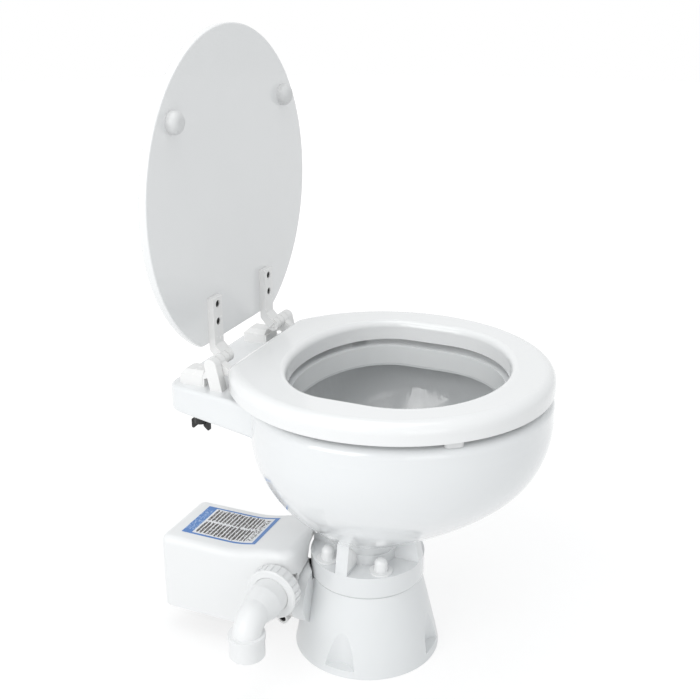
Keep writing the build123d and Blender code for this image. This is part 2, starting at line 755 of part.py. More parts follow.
with BuildPart() as lid_arm_screws:
    head_seat_y = lid_face_y - lid_arm_thickness + lid_screw_recess
    with BuildSketch(facing_front(head_seat_y)):
        with Locations(*lid_screw_places):
            Circle(lid_screw_head_radius)
    extrude(amount=lid_screw_head_height)
    with BuildSketch(facing_front(head_seat_y)):
        with Locations(*lid_screw_places):
            Circle(lid_screw_radius)
    extrude(amount=-(lid_arm_thickness - lid_screw_recess + lid_screw_grip))
    with BuildSketch(facing_front(head_seat_y - lid_screw_head_height)):
        with Locations(*lid_screw_places):
            Rectangle(lid_screw_head_radius, lid_screw_cross)
            Rectangle(lid_screw_cross, lid_screw_head_radius)
    extrude(amount=-lid_screw_head_height / 2, mode=Mode.SUBTRACT)
save(lid_arm_screws, "lid_arm_screws")

# Hinge posts: a pillar with the pin's boss, a web back to a bolted foot, and a snap-on cap behind
post_out = post_knuckle_out
post_in = post_knuckle_in
pin_cover = 2.4
block_out = 83.4
web_bottom = 15.0
web_top = 6.0
hinge_bolt_head_height = 4.0
cap_split_y = block_front + block_wall


def make_hinge_post(side):
    """One hinge post for the given side."""
    low, length = mirrored(side, post_in, post_out)
    web_low, web_length = mirrored(side, post_in, block_out)
    wall_low, wall_length = mirrored(side, block_in, block_out)
    plate_low, plate_length = mirrored(side, block_in + block_wall + joint_gap,
                                       block_out - block_wall - joint_gap)
    deck_drop = hinge_z - bowl_height
    with BuildPart() as post:
        with BuildSketch(side_plane(low)):
            Circle(knuckle_radius)
            with BuildLine():
                Polyline((-knuckle_radius, 0), (pillar_foot_front - hinge_y, -deck_drop),
                         (pillar_foot_rear - hinge_y, -deck_drop), (knuckle_radius, 0), close=True)
            make_face()
        extrude(amount=length)
        with BuildSketch(side_plane(web_low)):
            with BuildLine():
                Polyline((0, 0), (0, -web_bottom), (cap_split_y - hinge_y, -web_bottom - knuckle_radius / 2),
                         (cap_split_y - hinge_y, -deck_drop + block_height - block_chamfer),
                         (knuckle_radius, -web_top / 2), close=True)
            make_face()
        extrude(amount=web_length)
        with BuildSketch(side_plane(wall_low)):
            with Locations((block_front - hinge_y + block_wall / 2,
                            -deck_drop + (block_height - block_chamfer) / 2)):
                Rectangle(block_wall, block_height - block_chamfer)
        extrude(amount=wall_length)
        with BuildSketch(side_plane(plate_low)):
            with Locations(((cap_split_y + block_rear - block_wall - joint_gap) / 2 - hinge_y,
                            -deck_drop + post_base_height / 2)):
                Rectangle(block_rear - block_wall - joint_gap - cap_split_y, post_base_height)
        extrude(amount=plate_length)
        with BuildSketch(Plane.XY.offset(bowl_height)):
            with Locations((side * hinge_x, hinge_bolt_y)):
                Circle(hinge_bolt_radius + screw_slack)
        extrude(amount=post_base_height, mode=Mode.SUBTRACT)
        bore_low, bore_length = mirrored(side, post_in, post_out - pin_cover)
        with BuildSketch(side_plane(bore_low)):
            Circle(pin_radius)
        extrude(amount=bore_length, mode=Mode.SUBTRACT)
    return post


def make_hinge_cap(side):
    """The snap-on cap over one post's foot and bolt head."""
    cap_length = block_rear - cap_split_y - joint_gap / 2
    middle_y = block_rear - cap_length / 2
    middle_x = side * (block_in + block_out) / 2
    with BuildPart() as cap:
        with BuildSketch(Plane.XY.offset(bowl_height)):
            with Locations((middle_x, middle_y)):
                Rectangle(block_out - block_in, cap_length)
        extrude(amount=block_height)
        chamfer(cap.faces().sort_by(Axis.Z)[-1].edges().sort_by(Axis.Y)[1:], block_chamfer)
        with BuildSketch(Plane.XY.offset(bowl_height)):
            with Locations((middle_x, middle_y - block_wall)):
                Rectangle(block_out - block_in - block_wall * 2, cap_length)
        extrude(amount=block_height - block_chamfer, mode=Mode.SUBTRACT)
        with BuildSketch(Plane.XY.offset(bowl_height)):
            with Locations((side * hinge_x, hinge_bolt_y)):
                Circle(hex_across_flats / 2 + overrun / 2)
        extrude(amount=block_height - block_wall, mode=Mode.SUBTRACT)
    return cap


for side, side_name in zip(side_walls, ("left", "right")):
    hinge_post = make_hinge_post(side)
    save(hinge_post, f"hinge_post_{side_name}")
    hinge_cap = make_hinge_cap(side)
    save(hinge_cap, f"hinge_cap_{side_name}")

with BuildPart() as hinge_pins:
    for side in side_walls:
        low, length = mirrored(side, pin_inner_end, post_out - pin_cover)
        with BuildSketch(side_plane(low)):
            Circle(pin_radius)
        extrude(amount=length)
save(hinge_pins, "hinge_pins")

# Under the deck: rubber washer and wing nut on each hinge bolt
washer_top_z = bowl_height - deck_rear_depth - (deck_rear - hinge_bolt_y + washer_radius) * deck_slope
hinge_washer_thickness = 3.0
wing_hub_radius = 7.0
wing_hub_height = 14.0
wing_span = 22.0
wing_drop = 19.0
wing_thickness = 3.6
wing_start = 5.0
hinge_bolt_places = [(-hinge_x, hinge_bolt_y), (hinge_x, hinge_bolt_y)]
wing_nut_top = washer_top_z - hinge_washer_thickness

with BuildPart() as hinge_bolts:
    with BuildSketch(Plane.XY.offset(bowl_height + post_base_height)):
        with Locations(*hinge_bolt_places):
            RegularPolygon(hex_across_flats / 2, 6, major_radius=False)
    extrude(amount=hinge_bolt_head_height)
    with BuildSketch(Plane.XY.offset(bowl_height + post_base_height)):
        with Locations(*hinge_bolt_places):
            Circle(hinge_bolt_radius)
    extrude(amount=wing_nut_top - wing_hub_height - bowl_height - post_base_height)
save(hinge_bolts, "hinge_bolts")

with BuildPart() as hinge_washers:
    with BuildSketch(Plane.XY.offset(washer_top_z)):
        with Locations(*hinge_bolt_places):
            Circle(washer_radius)
            Circle(hinge_bolt_radius + screw_slack, mode=Mode.SUBTRACT)
    extrude(amount=-hinge_washer_thickness)
save(hinge_washers, "hinge_washers")

with BuildPart() as wing_nuts:
    for x, y in hinge_bolt_places:
        with BuildSketch(Plane.XY.offset(wing_nut_top)):
            with Locations((x, y)):
                Circle(wing_hub_radius)
        extrude(amount=-wing_hub_height)
        with BuildSketch(Plane(origin=(x - wing_thickness / 2, y, wing_nut_top), x_dir=(0, 1, 0),
                               z_dir=(1, 0, 0))) as wing_plan:
            with BuildLine():
                Polyline((0, -wing_start), (wing_span / 2, -wing_start - wing_drop / 3),
                         (wing_span / 2, -wing_start - wing_drop), (0, -wing_hub_height),
                         (-wing_span / 2, -wing_start - wing_drop),
                         (-wing_span / 2, -wing_start - wing_drop / 3), close=True)
            make_face()
            fillet(wing_plan.vertices().filter_by(lambda v: abs(v.Y - y) > wing_hub_radius),
                   wing_thickness / 2)
        extrude(amount=wing_thickness)
        with BuildSketch(Plane.XY.offset(wing_nut_top)):
            with Locations((x, y)):
                Circle(hinge_bolt_radius + turning_gap)
        extrude(amount=-wing_hub_height - wing_drop, mode=Mode.SUBTRACT)
save(wing_nuts, "wing_nuts")

# Drive unit. Its stations are measured along the shaft, rearward from the pedestal's pump flange
pump_gasket_thickness = 1.0
housing_wall_radius = pump_flange_radius
chamber_radius = 26.5
housing_length = 25.0
housing_back = 4.0
shaft_radius = 4.0
seal_radius = 9.0
seal_plate_length = 6.0
pump_body_radius = 26.0
intake_length = 13.0
intake_chamber_radius = 20.0
intake_wall = 2.5
impeller_offset = 0.6
motor_radius = 34.0
motor_wall = 2.0
motor_front_wall = 3.0
motor_length = 98.0
end_cap_length = 8.0
bearing_radius = 9.0
bearing_length = 5.0
bearing_boss_radius = 12.0
port_y = 73.0
port_z = 95.0
port_root_radius = 12.0
port_channel_radius = 6.0
port_channel_y = 77.5
port_bore_radius = 14.0
port_neck_radius = 17.5
port_thread_radius = 22.8
port_root_x = -73.0
port_neck_x = -70.0
port_thread_x = -81.5
port_end_x = -91.0
valve_flange_radius = 20.5
valve_flange_thickness = 2.0
drain_boss_radius = 6.5
drain_x = -64.0
drain_y = 77.0
drain_z = 42.0
drain_screw_radius = 4.0
drain_recess = 1.5
pump_screw_head_radius = 3.6
pump_screw_head = 3.0

housing_front = pump_flange_y + pump_gasket_thickness
housing_end = housing_front + housing_length
seal_plate_end = housing_end + seal_plate_length
intake_end = seal_plate_end + intake_length
motor_front = intake_end + joint_gap
motor_rear = motor_front + motor_length
drive_end = motor_rear + end_cap_length


def along_shaft(y):
    """A plane square to the shaft at this y, facing rearward, with sketch y downward."""
    return Plane(origin=(pump_x, y, pump_z), x_dir=(1, 0, 0), z_dir=(0, 1, 0))


def along_port(x):
    """A plane square to the discharge port at this x, facing the -X side."""
    return Plane(origin=(x, port_y, port_z), x_dir=(0, -1, 0), z_dir=(-1, 0, 0))


def shaft_ring(start, end, outer, inner, mode=Mode.ADD):
    """A ring about the shaft between two stations."""
    with BuildSketch(along_shaft(start)) as ring:
        Circle(outer)
        if inner > 0:
            Circle(inner, mode=Mode.SUBTRACT)
    extrude(ring.sketch, amount=end - start, mode=mode)


def port_ring(start, end, outer, inner, mode=Mode.ADD):
    """A ring about the discharge port between two places along X, start nearer the pump."""
    with BuildSketch(along_port(start)) as ring:
        Circle(outer)
        if inner > 0:
            Circle(inner, mode=Mode.SUBTRACT)
    extrude(ring.sketch, amount=start - end, mode=mode)


def four_screws(start, end, radius, mode=Mode.ADD):
    """The four pump screws, or their holes, between two stations."""
    with BuildSketch(along_shaft(start)) as screws:
        with PolarLocations(pump_screw_circle, pump_bolt_count):
            Circle(radius)
    extrude(screws.sketch, amount=end - start, mode=mode)


with BuildPart() as pump_gasket:
    shaft_ring(pump_flange_y, housing_front, pump_flange_radius, chamber_radius)
    four_screws(pump_flange_y, housing_front, pump_screw_radius + screw_slack, Mode.SUBTRACT)
save(pump_gasket, "pump_gasket")

with BuildPart() as port_root:
    port_ring(pump_x, port_root_x, port_root_radius, 0)
    split(bisect_by=Plane(origin=(0, housing_front, 0), x_dir=(1, 0, 0), z_dir=(0, 1, 0)), keep=Keep.TOP)

with BuildPart() as macerator_housing:
    shaft_ring(housing_front, housing_end, housing_wall_radius, 0)
    add(port_root.part)
    port_ring(port_neck_x, port_thread_x, port_neck_radius, 0)
    port_ring(port_thread_x, port_end_x, port_thread_radius, 0)
    with BuildSketch(Plane(origin=(drain_x, drain_y, drain_z), x_dir=(0, -1, 0), z_dir=(1, 0, 0))):
        Circle(drain_boss_radius)
    extrude(amount=pump_x - drain_x - drain_boss_radius * 2)
    shaft_ring(housing_front, housing_end - housing_back, chamber_radius, 0, Mode.SUBTRACT)
    shaft_ring(housing_front, housing_end, seal_radius, 0, Mode.SUBTRACT)
    with BuildSketch(Plane(origin=(pump_x - port_channel_radius, port_channel_y, port_z),
                           x_dir=(0, -1, 0), z_dir=(-1, 0, 0))):
        Circle(port_channel_radius)
    extrude(amount=pump_x - port_root_x, mode=Mode.SUBTRACT)
    port_ring(port_root_x, port_end_x, port_bore_radius, 0, Mode.SUBTRACT)
    port_ring(port_end_x + valve_flange_thickness, port_end_x, valve_flange_radius, 0, Mode.SUBTRACT)
    four_screws(housing_front, housing_end, pump_screw_radius + screw_slack, Mode.SUBTRACT)
    with BuildSketch(Plane(origin=(drain_x, drain_y, drain_z), x_dir=(0, -1, 0), z_dir=(1, 0, 0))):
        Circle(drain_screw_radius)
    extrude(amount=drain_boss_radius, mode=Mode.SUBTRACT)
save(macerator_housing, "macerator_housing")

with BuildPart() as drain_screw:
    with BuildSketch(Plane(origin=(drain_x + drain_recess, drain_y, drain_z), x_dir=(0, -1, 0),
                           z_dir=(1, 0, 0))):
        Circle(drain_screw_radius - turning_gap)
    extrude(amount=drain_boss_radius - drain_recess)
    with BuildSketch(Plane(origin=(drain_x + drain_recess, drain_y, drain_z), x_dir=(0, -1, 0),
                           z_dir=(1, 0, 0))):
        RegularPolygon(drain_screw_radius / 2, 6)
    extrude(amount=drain_boss_radius / 2 - drain_recess, mode=Mode.SUBTRACT)
save(drain_screw, "drain_screw")

with BuildPart() as pump_screws:
    four_screws(housing_end, pump_flange_y - pump_screw_grip + joint_gap, pump_screw_radius)
    four_screws(housing_end, housing_end + pump_screw_head, pump_screw_head_radius)
save(pump_screws, "pump_screws")

# Rotor: shaft, cutter, waste impeller, raw-water impeller, armature and commutator turn together
cutter_start = 1.5
cutter_thickness = 3.0
cutter_half_length = 22.0
cutter_width = 12.0
cutter_hub_radius = 8.0
wear_plate_start = 6.5
wear_plate_thickness = 1.5
wear_plate_hole = 12.0
waste_impeller_start = 9.5
waste_impeller_length = 9.5
waste_impeller_radius = 23.0
waste_vane_width = 2.5
waste_vane_count = 6
waste_impeller_web = 2.0
flexible_hub_radius = 9.0
flexible_vane_count = 6
flexible_vane_width = 2.4
armature_radius = 22.0
armature_start = 24.0
armature_length = 42.0
slot_count = 12
slot_width = 3.0
slot_depth = 8.0
winding_radius = 19.0
winding_length = 8.0
winding_inner_radius = 7.0
commutator_radius = 10.0
commutator_length = 11.0
commutator_gap = 2.0
brush_width = 6.0
brush_length = 10.0
brush_box_wall = 1.5
brush_plate_thickness = 3.0
brush_plate_hole = 14.0
magnet_thickness = 5.0
through_bolt_radius = 2.0
through_bolt_circle = 28.6

armature_front = motor_front + armature_start
armature_rear = armature_front + armature_length
commutator_front = armature_rear + winding_length + commutator_gap
commutator_rear = commutator_front + commutator_length

with BuildPart() as wear_plate:
    shaft_ring(housing_front + wear_plate_start, housing_front + wear_plate_start + wear_plate_thickness,
               chamber_radius, wear_plate_hole)
save(wear_plate, "wear_plate")

with BuildPart() as motor_shaft:
    shaft_ring(housing_front + cutter_start / 2, motor_rear + bearing_length / 2, shaft_radius, 0)
save(motor_shaft, "motor_shaft")

with BuildPart() as chopper_blade:
    cutter_y = housing_front + cutter_start
    shaft_ring(cutter_y, cutter_y + cutter_thickness, cutter_hub_radius, 0)
    with BuildSketch(along_shaft(cutter_y)):
        SlotOverall(cutter_half_length * 2, cutter_width)
    extrude(amount=cutter_thickness)
    shaft_ring(cutter_y, cutter_y + cutter_thickness, shaft_radius, 0, Mode.SUBTRACT)
save(chopper_blade, "chopper_blade")

with BuildPart() as discharge_impeller:
    vane_y = housing_front + waste_impeller_start
    shaft_ring(vane_y, vane_y + waste_impeller_length, cutter_hub_radius, 0)
    shaft_ring(vane_y + waste_impeller_length - waste_impeller_web, vane_y + waste_impeller_length,
               waste_impeller_radius, 0)
    with BuildSketch(along_shaft(vane_y)):
        with PolarLocations(waste_impeller_radius / 2, waste_vane_count):
            Rectangle(waste_impeller_radius, waste_vane_width)
    extrude(amount=waste_impeller_length)
    shaft_ring(vane_y, vane_y + waste_impeller_length, shaft_radius, 0, Mode.SUBTRACT)
save(discharge_impeller, "discharge_impeller")

with BuildPart() as seal_plate:
    shaft_ring(housing_end, seal_plate_end, pump_body_radius, seal_radius)
save(seal_plate, "seal_plate")

with BuildPart() as shaft_seals:
    shaft_ring(housing_end - housing_back, seal_plate_end, seal_radius, shaft_radius + turning_gap)
save(shaft_seals, "shaft_seals")

# Raw-water pump: its two hose tails leave on the far side, under the hood's edge
intake_tail_radius = 9.5
intake_tail_bore = 7.0
intake_tail_end = 40.0
intake_collar_end = 16.0
intake_collar_step = 1.0
intake_tail_start = pump_x + motor_radius + intake_wall * 1.5
intake_tail_spread = 13.5
intake_y = seal_plate_end + intake_length / 2
intake_tail_places = [(0, -intake_tail_spread), (0, intake_tail_spread)]

with BuildPart() as intake_body:
    shaft_ring(seal_plate_end, intake_end, pump_body_radius, 0)
    with BuildSketch(Plane(origin=(pump_x + intake_chamber_radius, intake_y, pump_z), x_dir=(0, 1, 0),
                           z_dir=(1, 0, 0))):
        with Locations(*intake_tail_places):
            Circle(intake_tail_radius)
    extrude(amount=intake_tail_end - pump_x - intake_chamber_radius)
    split(bisect_by=along_shaft(seal_plate_end), keep=Keep.TOP)
    split(bisect_by=along_shaft(intake_end), keep=Keep.BOTTOM)
    with BuildSketch(Plane(origin=(intake_tail_start, intake_y, pump_z), x_dir=(0, 1, 0), z_dir=(1, 0, 0))):
        with Locations(*intake_tail_places):
            Circle(intake_tail_radius + intake_collar_step)
    extrude(amount=intake_collar_end - intake_tail_start)
    with BuildSketch(Plane(origin=(intake_collar_end, intake_y, pump_z), x_dir=(0, 1, 0), z_dir=(1, 0, 0))):
        with Locations(*intake_tail_places):
            Circle(intake_tail_radius)
    extrude(amount=intake_tail_end - intake_collar_end)
    shaft_ring(seal_plate_end, intake_end - intake_wall, intake_chamber_radius, 0, Mode.SUBTRACT)
    shaft_ring(seal_plate_end, intake_end, shaft_radius + screw_slack, 0, Mode.SUBTRACT)
    with BuildSketch(Plane(origin=(pump_x + intake_chamber_radius / 2, intake_y, pump_z), x_dir=(0, 1, 0),
                           z_dir=(1, 0, 0))):
        with Locations(*intake_tail_places):
            Rectangle(intake_length - intake_wall * 2, intake_tail_bore)
    extrude(amount=intake_tail_end, mode=Mode.SUBTRACT)
    with BuildSketch(Plane(origin=(intake_tail_end, intake_y, pump_z), x_dir=(0, 1, 0), z_dir=(-1, 0, 0))):
        with Locations(*intake_tail_places):
            Circle(intake_length / 2 - intake_wall)
    extrude(amount=intake_tail_end, mode=Mode.SUBTRACT)
save(intake_body, "intake_body")

with BuildPart() as flexible_impeller:
    star_y = seal_plate_end + impeller_offset
    star_end = intake_end - intake_wall - impeller_offset
    shaft_ring(star_y, star_end, flexible_hub_radius, 0)
    vane_reach = intake_chamber_radius - moving_gap
    with BuildSketch(along_shaft(star_y)):
        with PolarLocations(vane_reach / 2, flexible_vane_count):
            Rectangle(vane_reach, flexible_vane_width)
    extrude(amount=star_end - star_y)
    shaft_ring(star_y, star_end, shaft_radius, 0, Mode.SUBTRACT)
save(flexible_impeller, "flexible_impeller")

# Motor
with BuildPart() as motor_can:
    shaft_ring(motor_front, motor_rear, motor_radius, 0)
    shaft_ring(motor_front + motor_front_wall, motor_rear, motor_radius - motor_wall, 0, Mode.SUBTRACT)
    shaft_ring(motor_front, motor_front + motor_front_wall + bearing_length, bearing_boss_radius, 0)
    shaft_ring(motor_front, motor_front + motor_front_wall, shaft_radius + screw_slack, 0, Mode.SUBTRACT)
    shaft_ring(motor_front + motor_front_wall, motor_front + motor_front_wall + bearing_length,
               bearing_radius, 0, Mode.SUBTRACT)
    with BuildSketch(along_shaft(motor_front)):
        with PolarLocations(through_bolt_circle, 2, start_angle=90):
            Circle(through_bolt_radius + turning_gap)
    extrude(amount=motor_front_wall, mode=Mode.SUBTRACT)
save(motor_can, "motor_can")

with BuildPart() as motor_magnets:
    magnet_radius = motor_radius - motor_wall - joint_gap
    shaft_ring(armature_front, armature_rear, magnet_radius, magnet_radius - magnet_thickness)
    with BuildSketch(along_shaft(armature_front)):
        Rectangle(magnet_radius / 2, magnet_radius * 3)
    extrude(amount=armature_length, mode=Mode.SUBTRACT)
save(motor_magnets, "motor_magnets")

with BuildPart() as armature_core:
    shaft_ring(armature_front, armature_rear, armature_radius, shaft_radius)
    with BuildSketch(along_shaft(armature_front)):
        with PolarLocations(armature_radius, slot_count):
            Rectangle(slot_depth * 2, slot_width)
    extrude(amount=armature_length, mode=Mode.SUBTRACT)
save(armature_core, "armature_core")

with BuildPart() as armature_windings:
    shaft_ring(armature_front - winding_length, armature_front, winding_radius, winding_inner_radius)
    shaft_ring(armature_rear, armature_rear + winding_length, winding_radius, winding_inner_radius)
    outer_edges = armature_windings.edges().filter_by(GeomType.CIRCLE).group_by(Axis.Y)
    fillet(outer_edges[0].sort_by(SortBy.RADIUS)[-1:] + outer_edges[-1].sort_by(SortBy.RADIUS)[-1:],
           winding_length / 2)
save(armature_windings, "armature_windings")

with BuildPart() as commutator:
    shaft_ring(armature_rear, commutator_rear, commutator_radius - commutator_gap * 2, shaft_radius)
    shaft_ring(armature_rear + winding_length, commutator_rear, commutator_radius, shaft_radius)
save(commutator, "commutator")

# Brushes ride in boxes on a plate that the can holds just ahead of the end cap
brush_plate_y = commutator_rear + commutator_gap
with BuildPart() as brush_holder:
    shaft_ring(brush_plate_y, brush_plate_y + brush_plate_thickness, motor_radius - motor_wall - turning_gap,
               brush_plate_hole)
    for side in side_walls:
        box_middle = commutator_radius + commutator_gap + brush_length / 2
        with BuildSketch(along_shaft(brush_plate_y)):
            with Locations((side * box_middle, 0)):
                Rectangle(brush_length, brush_width + brush_box_wall * 2)
                Rectangle(brush_length, brush_width, mode=Mode.SUBTRACT)
        extrude(amount=-brush_width - brush_box_wall)
    with BuildSketch(along_shaft(brush_plate_y)):
        with PolarLocations(through_bolt_circle, 2, start_angle=90):
            Circle(through_bolt_radius + turning_gap)
    extrude(amount=brush_plate_thickness, mode=Mode.SUBTRACT)
save(brush_holder, "brush_holder")

with BuildPart() as brushes:
    for side in side_walls:
        brush_middle = commutator_radius + turning_gap + brush_length / 2
        with BuildSketch(along_shaft(brush_plate_y - turning_gap)):
            with Locations((side * brush_middle, 0)):
                Rectangle(brush_length, brush_width - turning_gap * 2)
        extrude(amount=-brush_width)
save(brushes, "brushes")

with BuildPart() as motor_bearings:
    front_bearing = motor_front + motor_front_wall
    shaft_ring(front_bearing, front_bearing + bearing_length, bearing_radius, shaft_radius + turning_gap)
    shaft_ring(motor_rear - bearing_length, motor_rear, bearing_radius, shaft_radius + turning_gap)
save(motor_bearings, "motor_bearings")

cover_rear = 224.0
cover_wall = 2.5
cover_screw_x = 20.0
cover_screw_radius = 2.0
cover_boss_radius = 5.0
cover_screw_head_radius = 3.6
cover_screw_head = 2.2
cover_screw_length = 10.0
cover_boss_end = cover_rear - cover_wall
cover_screw_places = [(-cover_screw_x, 0), (cover_screw_x, 0)]

with BuildPart() as motor_end_cap:
    shaft_ring(motor_rear, drive_end, motor_radius, 0)
    shaft_ring(motor_rear - bearing_length, motor_rear, bearing_boss_radius, 0)
    with BuildSketch(along_shaft(drive_end)):
        with Locations(*cover_screw_places):
            Circle(cover_boss_radius)
    extrude(amount=cover_boss_end - drive_end)
    shaft_ring(motor_rear - bearing_length, motor_rear, bearing_radius, 0, Mode.SUBTRACT)
    shaft_ring(motor_rear, motor_rear + bearing_length, shaft_radius + screw_slack, 0, Mode.SUBTRACT)
    with BuildSketch(along_shaft(drive_end)):
        with PolarLocations(through_bolt_circle, 2, start_angle=90):
            Circle(through_bolt_radius + turning_gap)
    extrude(amount=-end_cap_length, mode=Mode.SUBTRACT)
    with BuildSketch(along_shaft(cover_boss_end)):
        with Locations(*cover_screw_places):
            Circle(cover_screw_radius + turning_gap)
    extrude(amount=-cover_screw_length, mode=Mode.SUBTRACT)
save(motor_end_cap, "motor_end_cap")

with BuildPart() as through_bolts:
    with BuildSketch(along_shaft(drive_end)):
        with PolarLocations(through_bolt_circle, 2, start_angle=90):
            Circle(through_bolt_radius)
    extrude(amount=motor_front - drive_end)
    with BuildSketch(along_shaft(drive_end)):
        with PolarLocations(through_bolt_circle, 2, start_angle=90):
            Circle(through_bolt_radius * 2)
    extrude(amount=through_bolt_radius)
save(through_bolts, "through_bolts")

# A sleeve clamps the raw-water pump to the motor's front and leaves its hose tails free
bracket_wall = 2.5
bracket_lip = 8.0
bracket_foot = 10.0
with BuildPart() as motor_bracket:
    sleeve_radius = motor_radius + joint_gap / 2
    shaft_ring(intake_end - bracket_lip, motor_front + bracket_foot, sleeve_radius + bracket_wall, 0)
    shaft_ring(motor_front, motor_front + bracket_foot, sleeve_radius, 0, Mode.SUBTRACT)
    shaft_ring(intake_end - bracket_lip, intake_end, pump_body_radius + joint_gap / 2, 0, Mode.SUBTRACT)
    shaft_ring(intake_end, motor_front, shaft_radius + screw_slack, 0, Mode.SUBTRACT)
    with BuildSketch(along_shaft(intake_end - bracket_lip)):
        with Locations((pump_body_radius, 0)):
            Rectangle(pump_body_radius, intake_tail_spread * 4)
    extrude(amount=bracket_lip, mode=Mode.SUBTRACT)
save(motor_bracket, "motor_bracket")

# Hood over the drive, open below, with its front drawn in around the bowl's foot
cover_near_x = -80.0
cover_far_x = 15.0
cover_front = 58.0
cover_bottom = 33.0
cover_rear_top = 124.0
cover_front_top = 136.0
cover_step_start = 68.0
cover_step_end = 145.0
cover_rear_corner = 10.0
cover_front_corner = 18.0
cover_top_round = 9.0
cover_foot_gap = 1.0
cover_lean_start = 112.0
cover_lean_rise = 27.0
cover_lean = 5.4
notch_rear = 130.0
notch_top = 64.0
notch_round = 12.0
arch_start_x = -72.0
arch_start = 72.0
arch_near_x = -58.0
arch_near = 100.0
arch_middle_x = -45.0
arch_middle = 104.0
arch_far_x = -22.0
arch_far = 110.0
arch_high = 120.0
arch_depth = 26.0
far_notch_rear = 116.0
far_notch_top = 104.0
cover_port_gap = 1.0
label_thickness = 0.25
label_lift = 0.05
label_near_x = -62.0
label_far_x = 1.0
label_front = 110.0
label_rear = 205.0
grommet_radius = 7.0
grommet_y = 190.0
grommet_z = 55.0
grommet_groove = 1.5
grommet_collar = 2.5
grommet_bore = 3.5


def make_cover_shape(inset):
    """The hood's outer form drawn in by this much, with no opening below."""
    with BuildPart() as side_form:
        with BuildSketch(Plane(origin=(cover_near_x - overrun, 0, 0), x_dir=(0, 1, 0), z_dir=(1, 0, 0))):
            with BuildLine():
                top_front = cover_front_top - inset
                top_rear = cover_rear_top - inset
                Line((cover_front - overrun, top_front), (cover_step_start, top_front))
                Spline((cover_step_start, top_front), (cover_step_end, top_rear),
                       tangents=((1, 0), (1, 0)))
                Polyline((cover_step_end, top_rear), (cover_rear + overrun, top_rear),
                         (cover_rear + overrun, cover_bottom - inset * 2),
                         (cover_front - overrun, cover_bottom - inset * 2),
                         (cover_front - overrun, top_front))
            make_face()
        extrude(amount=cover_far_x - cover_near_x + overrun * 2)
    with BuildPart() as form:
        with BuildSketch(Plane.XY.offset(cover_bottom - inset * 2)) as plan:
            with Locations(((cover_near_x + cover_far_x) / 2, (cover_front + cover_rear) / 2)):
                Rectangle(cover_far_x - cover_near_x - inset * 2, cover_rear - cover_front - inset * 2)
            corners = plan.vertices().group_by(Axis.Y)
            fillet(corners[-1], cover_rear_corner - inset)
            fillet(plan.vertices().group_by(Axis.Y)[0].sort_by(Axis.X)[0], cover_front_corner - inset)
        extrude(amount=cover_front_top - cover_bottom + inset)
        add(side_form.part, mode=Mode.INTERSECT)
        top_edges = form.faces().filter_by(lambda face: face.normal_at().Z > 0.3).edges()
        rim = top_edges.filter_by(lambda edge: abs(edge.tangent_at(0.5).X) < 0.99
                                  or edge.center().Y > cover_rear - cover_rear_corner)
        fillet(rim, cover_top_round - inset)
        with BuildSketch(Plane.XY.offset(cover_bottom - inset * 2)):
            Circle(foot_clear_radius + cover_foot_gap + inset)
        extrude(amount=cover_lean_start - cover_bottom + inset * 2, mode=Mode.SUBTRACT)
        with BuildSketch(Plane.XY.offset(cover_lean_start)):
            Circle(foot_clear_radius + cover_foot_gap + inset)
        with BuildSketch(Plane.XY.offset(cover_lean_start + cover_lean_rise)):
            Circle(foot_clear_radius + cover_foot_gap + inset - cover_lean)
        loft(mode=Mode.SUBTRACT)
    return form.part


outer_form = make_cover_shape(0)
inner_form = make_cover_shape(cover_wall)
skin_form = make_cover_shape(-label_lift - label_thickness)
bed_form = make_cover_shape(-label_lift)

with BuildPart() as motor_cover:
    add(outer_form)
    add(inner_form, mode=Mode.SUBTRACT)
    with BuildSketch(Plane(origin=(cover_near_x - overrun, 0, 0), x_dir=(0, 1, 0), z_dir=(1, 0, 0))) as notch:
        with BuildLine():
            Polyline((cover_front - overrun, cover_bottom - overrun), (notch_rear, cover_bottom - overrun),
                     (notch_rear, cover_bottom), (notch_rear - notch_round, notch_top),
                     (cover_front - overrun, notch_top), close=True)
        make_face()
        fillet(notch.vertices().group_by(Axis.Y)[-1].sort_by(Axis.X)[-1], notch_round)
    extrude(amount=cover_front_corner + overrun, mode=Mode.SUBTRACT)
    with BuildSketch(Plane.XZ.offset(-cover_front + overrun)):
        with BuildLine():
            Polyline((arch_start_x, cover_bottom - overrun), (arch_start_x, arch_start),
                     (arch_near_x, arch_near),
                     (arch_middle_x, arch_middle), (arch_far_x, arch_far), (0, arch_high),
                     (cover_far_x + overrun, arch_high), (cover_far_x + overrun, cover_bottom - overrun),
                     close=True)
        make_face()
    extrude(amount=-arch_depth, mode=Mode.SUBTRACT)
    with BuildSketch(Plane(origin=(cover_far_x - cover_wall * 2, 0, 0), x_dir=(0, 1, 0), z_dir=(1, 0, 0))):
        with BuildLine():
            Polyline((cover_front, cover_bottom - overrun), (far_notch_rear, cover_bottom - overrun),
                     (far_notch_rear, far_notch_top), (cover_front, far_notch_top), close=True)
        make_face()
    extrude(amount=cover_wall * 3, mode=Mode.SUBTRACT)
    port_ring(cover_near_x + cover_front_corner, cover_near_x - overrun, port_neck_radius + cover_port_gap, 0,
              Mode.SUBTRACT)
    with BuildSketch(along_shaft(cover_rear)):
        with Locations(*cover_screw_places):
            Circle(cover_screw_radius + screw_slack)
    extrude(amount=-cover_wall, mode=Mode.SUBTRACT)
    with BuildSketch(Plane(origin=(cover_far_x, grommet_y, grommet_z), x_dir=(0, 1, 0), z_dir=(1, 0, 0))):
        Circle(grommet_radius)
    extrude(amount=-cover_wall, mode=Mode.SUBTRACT)
save(motor_cover, "motor_cover")

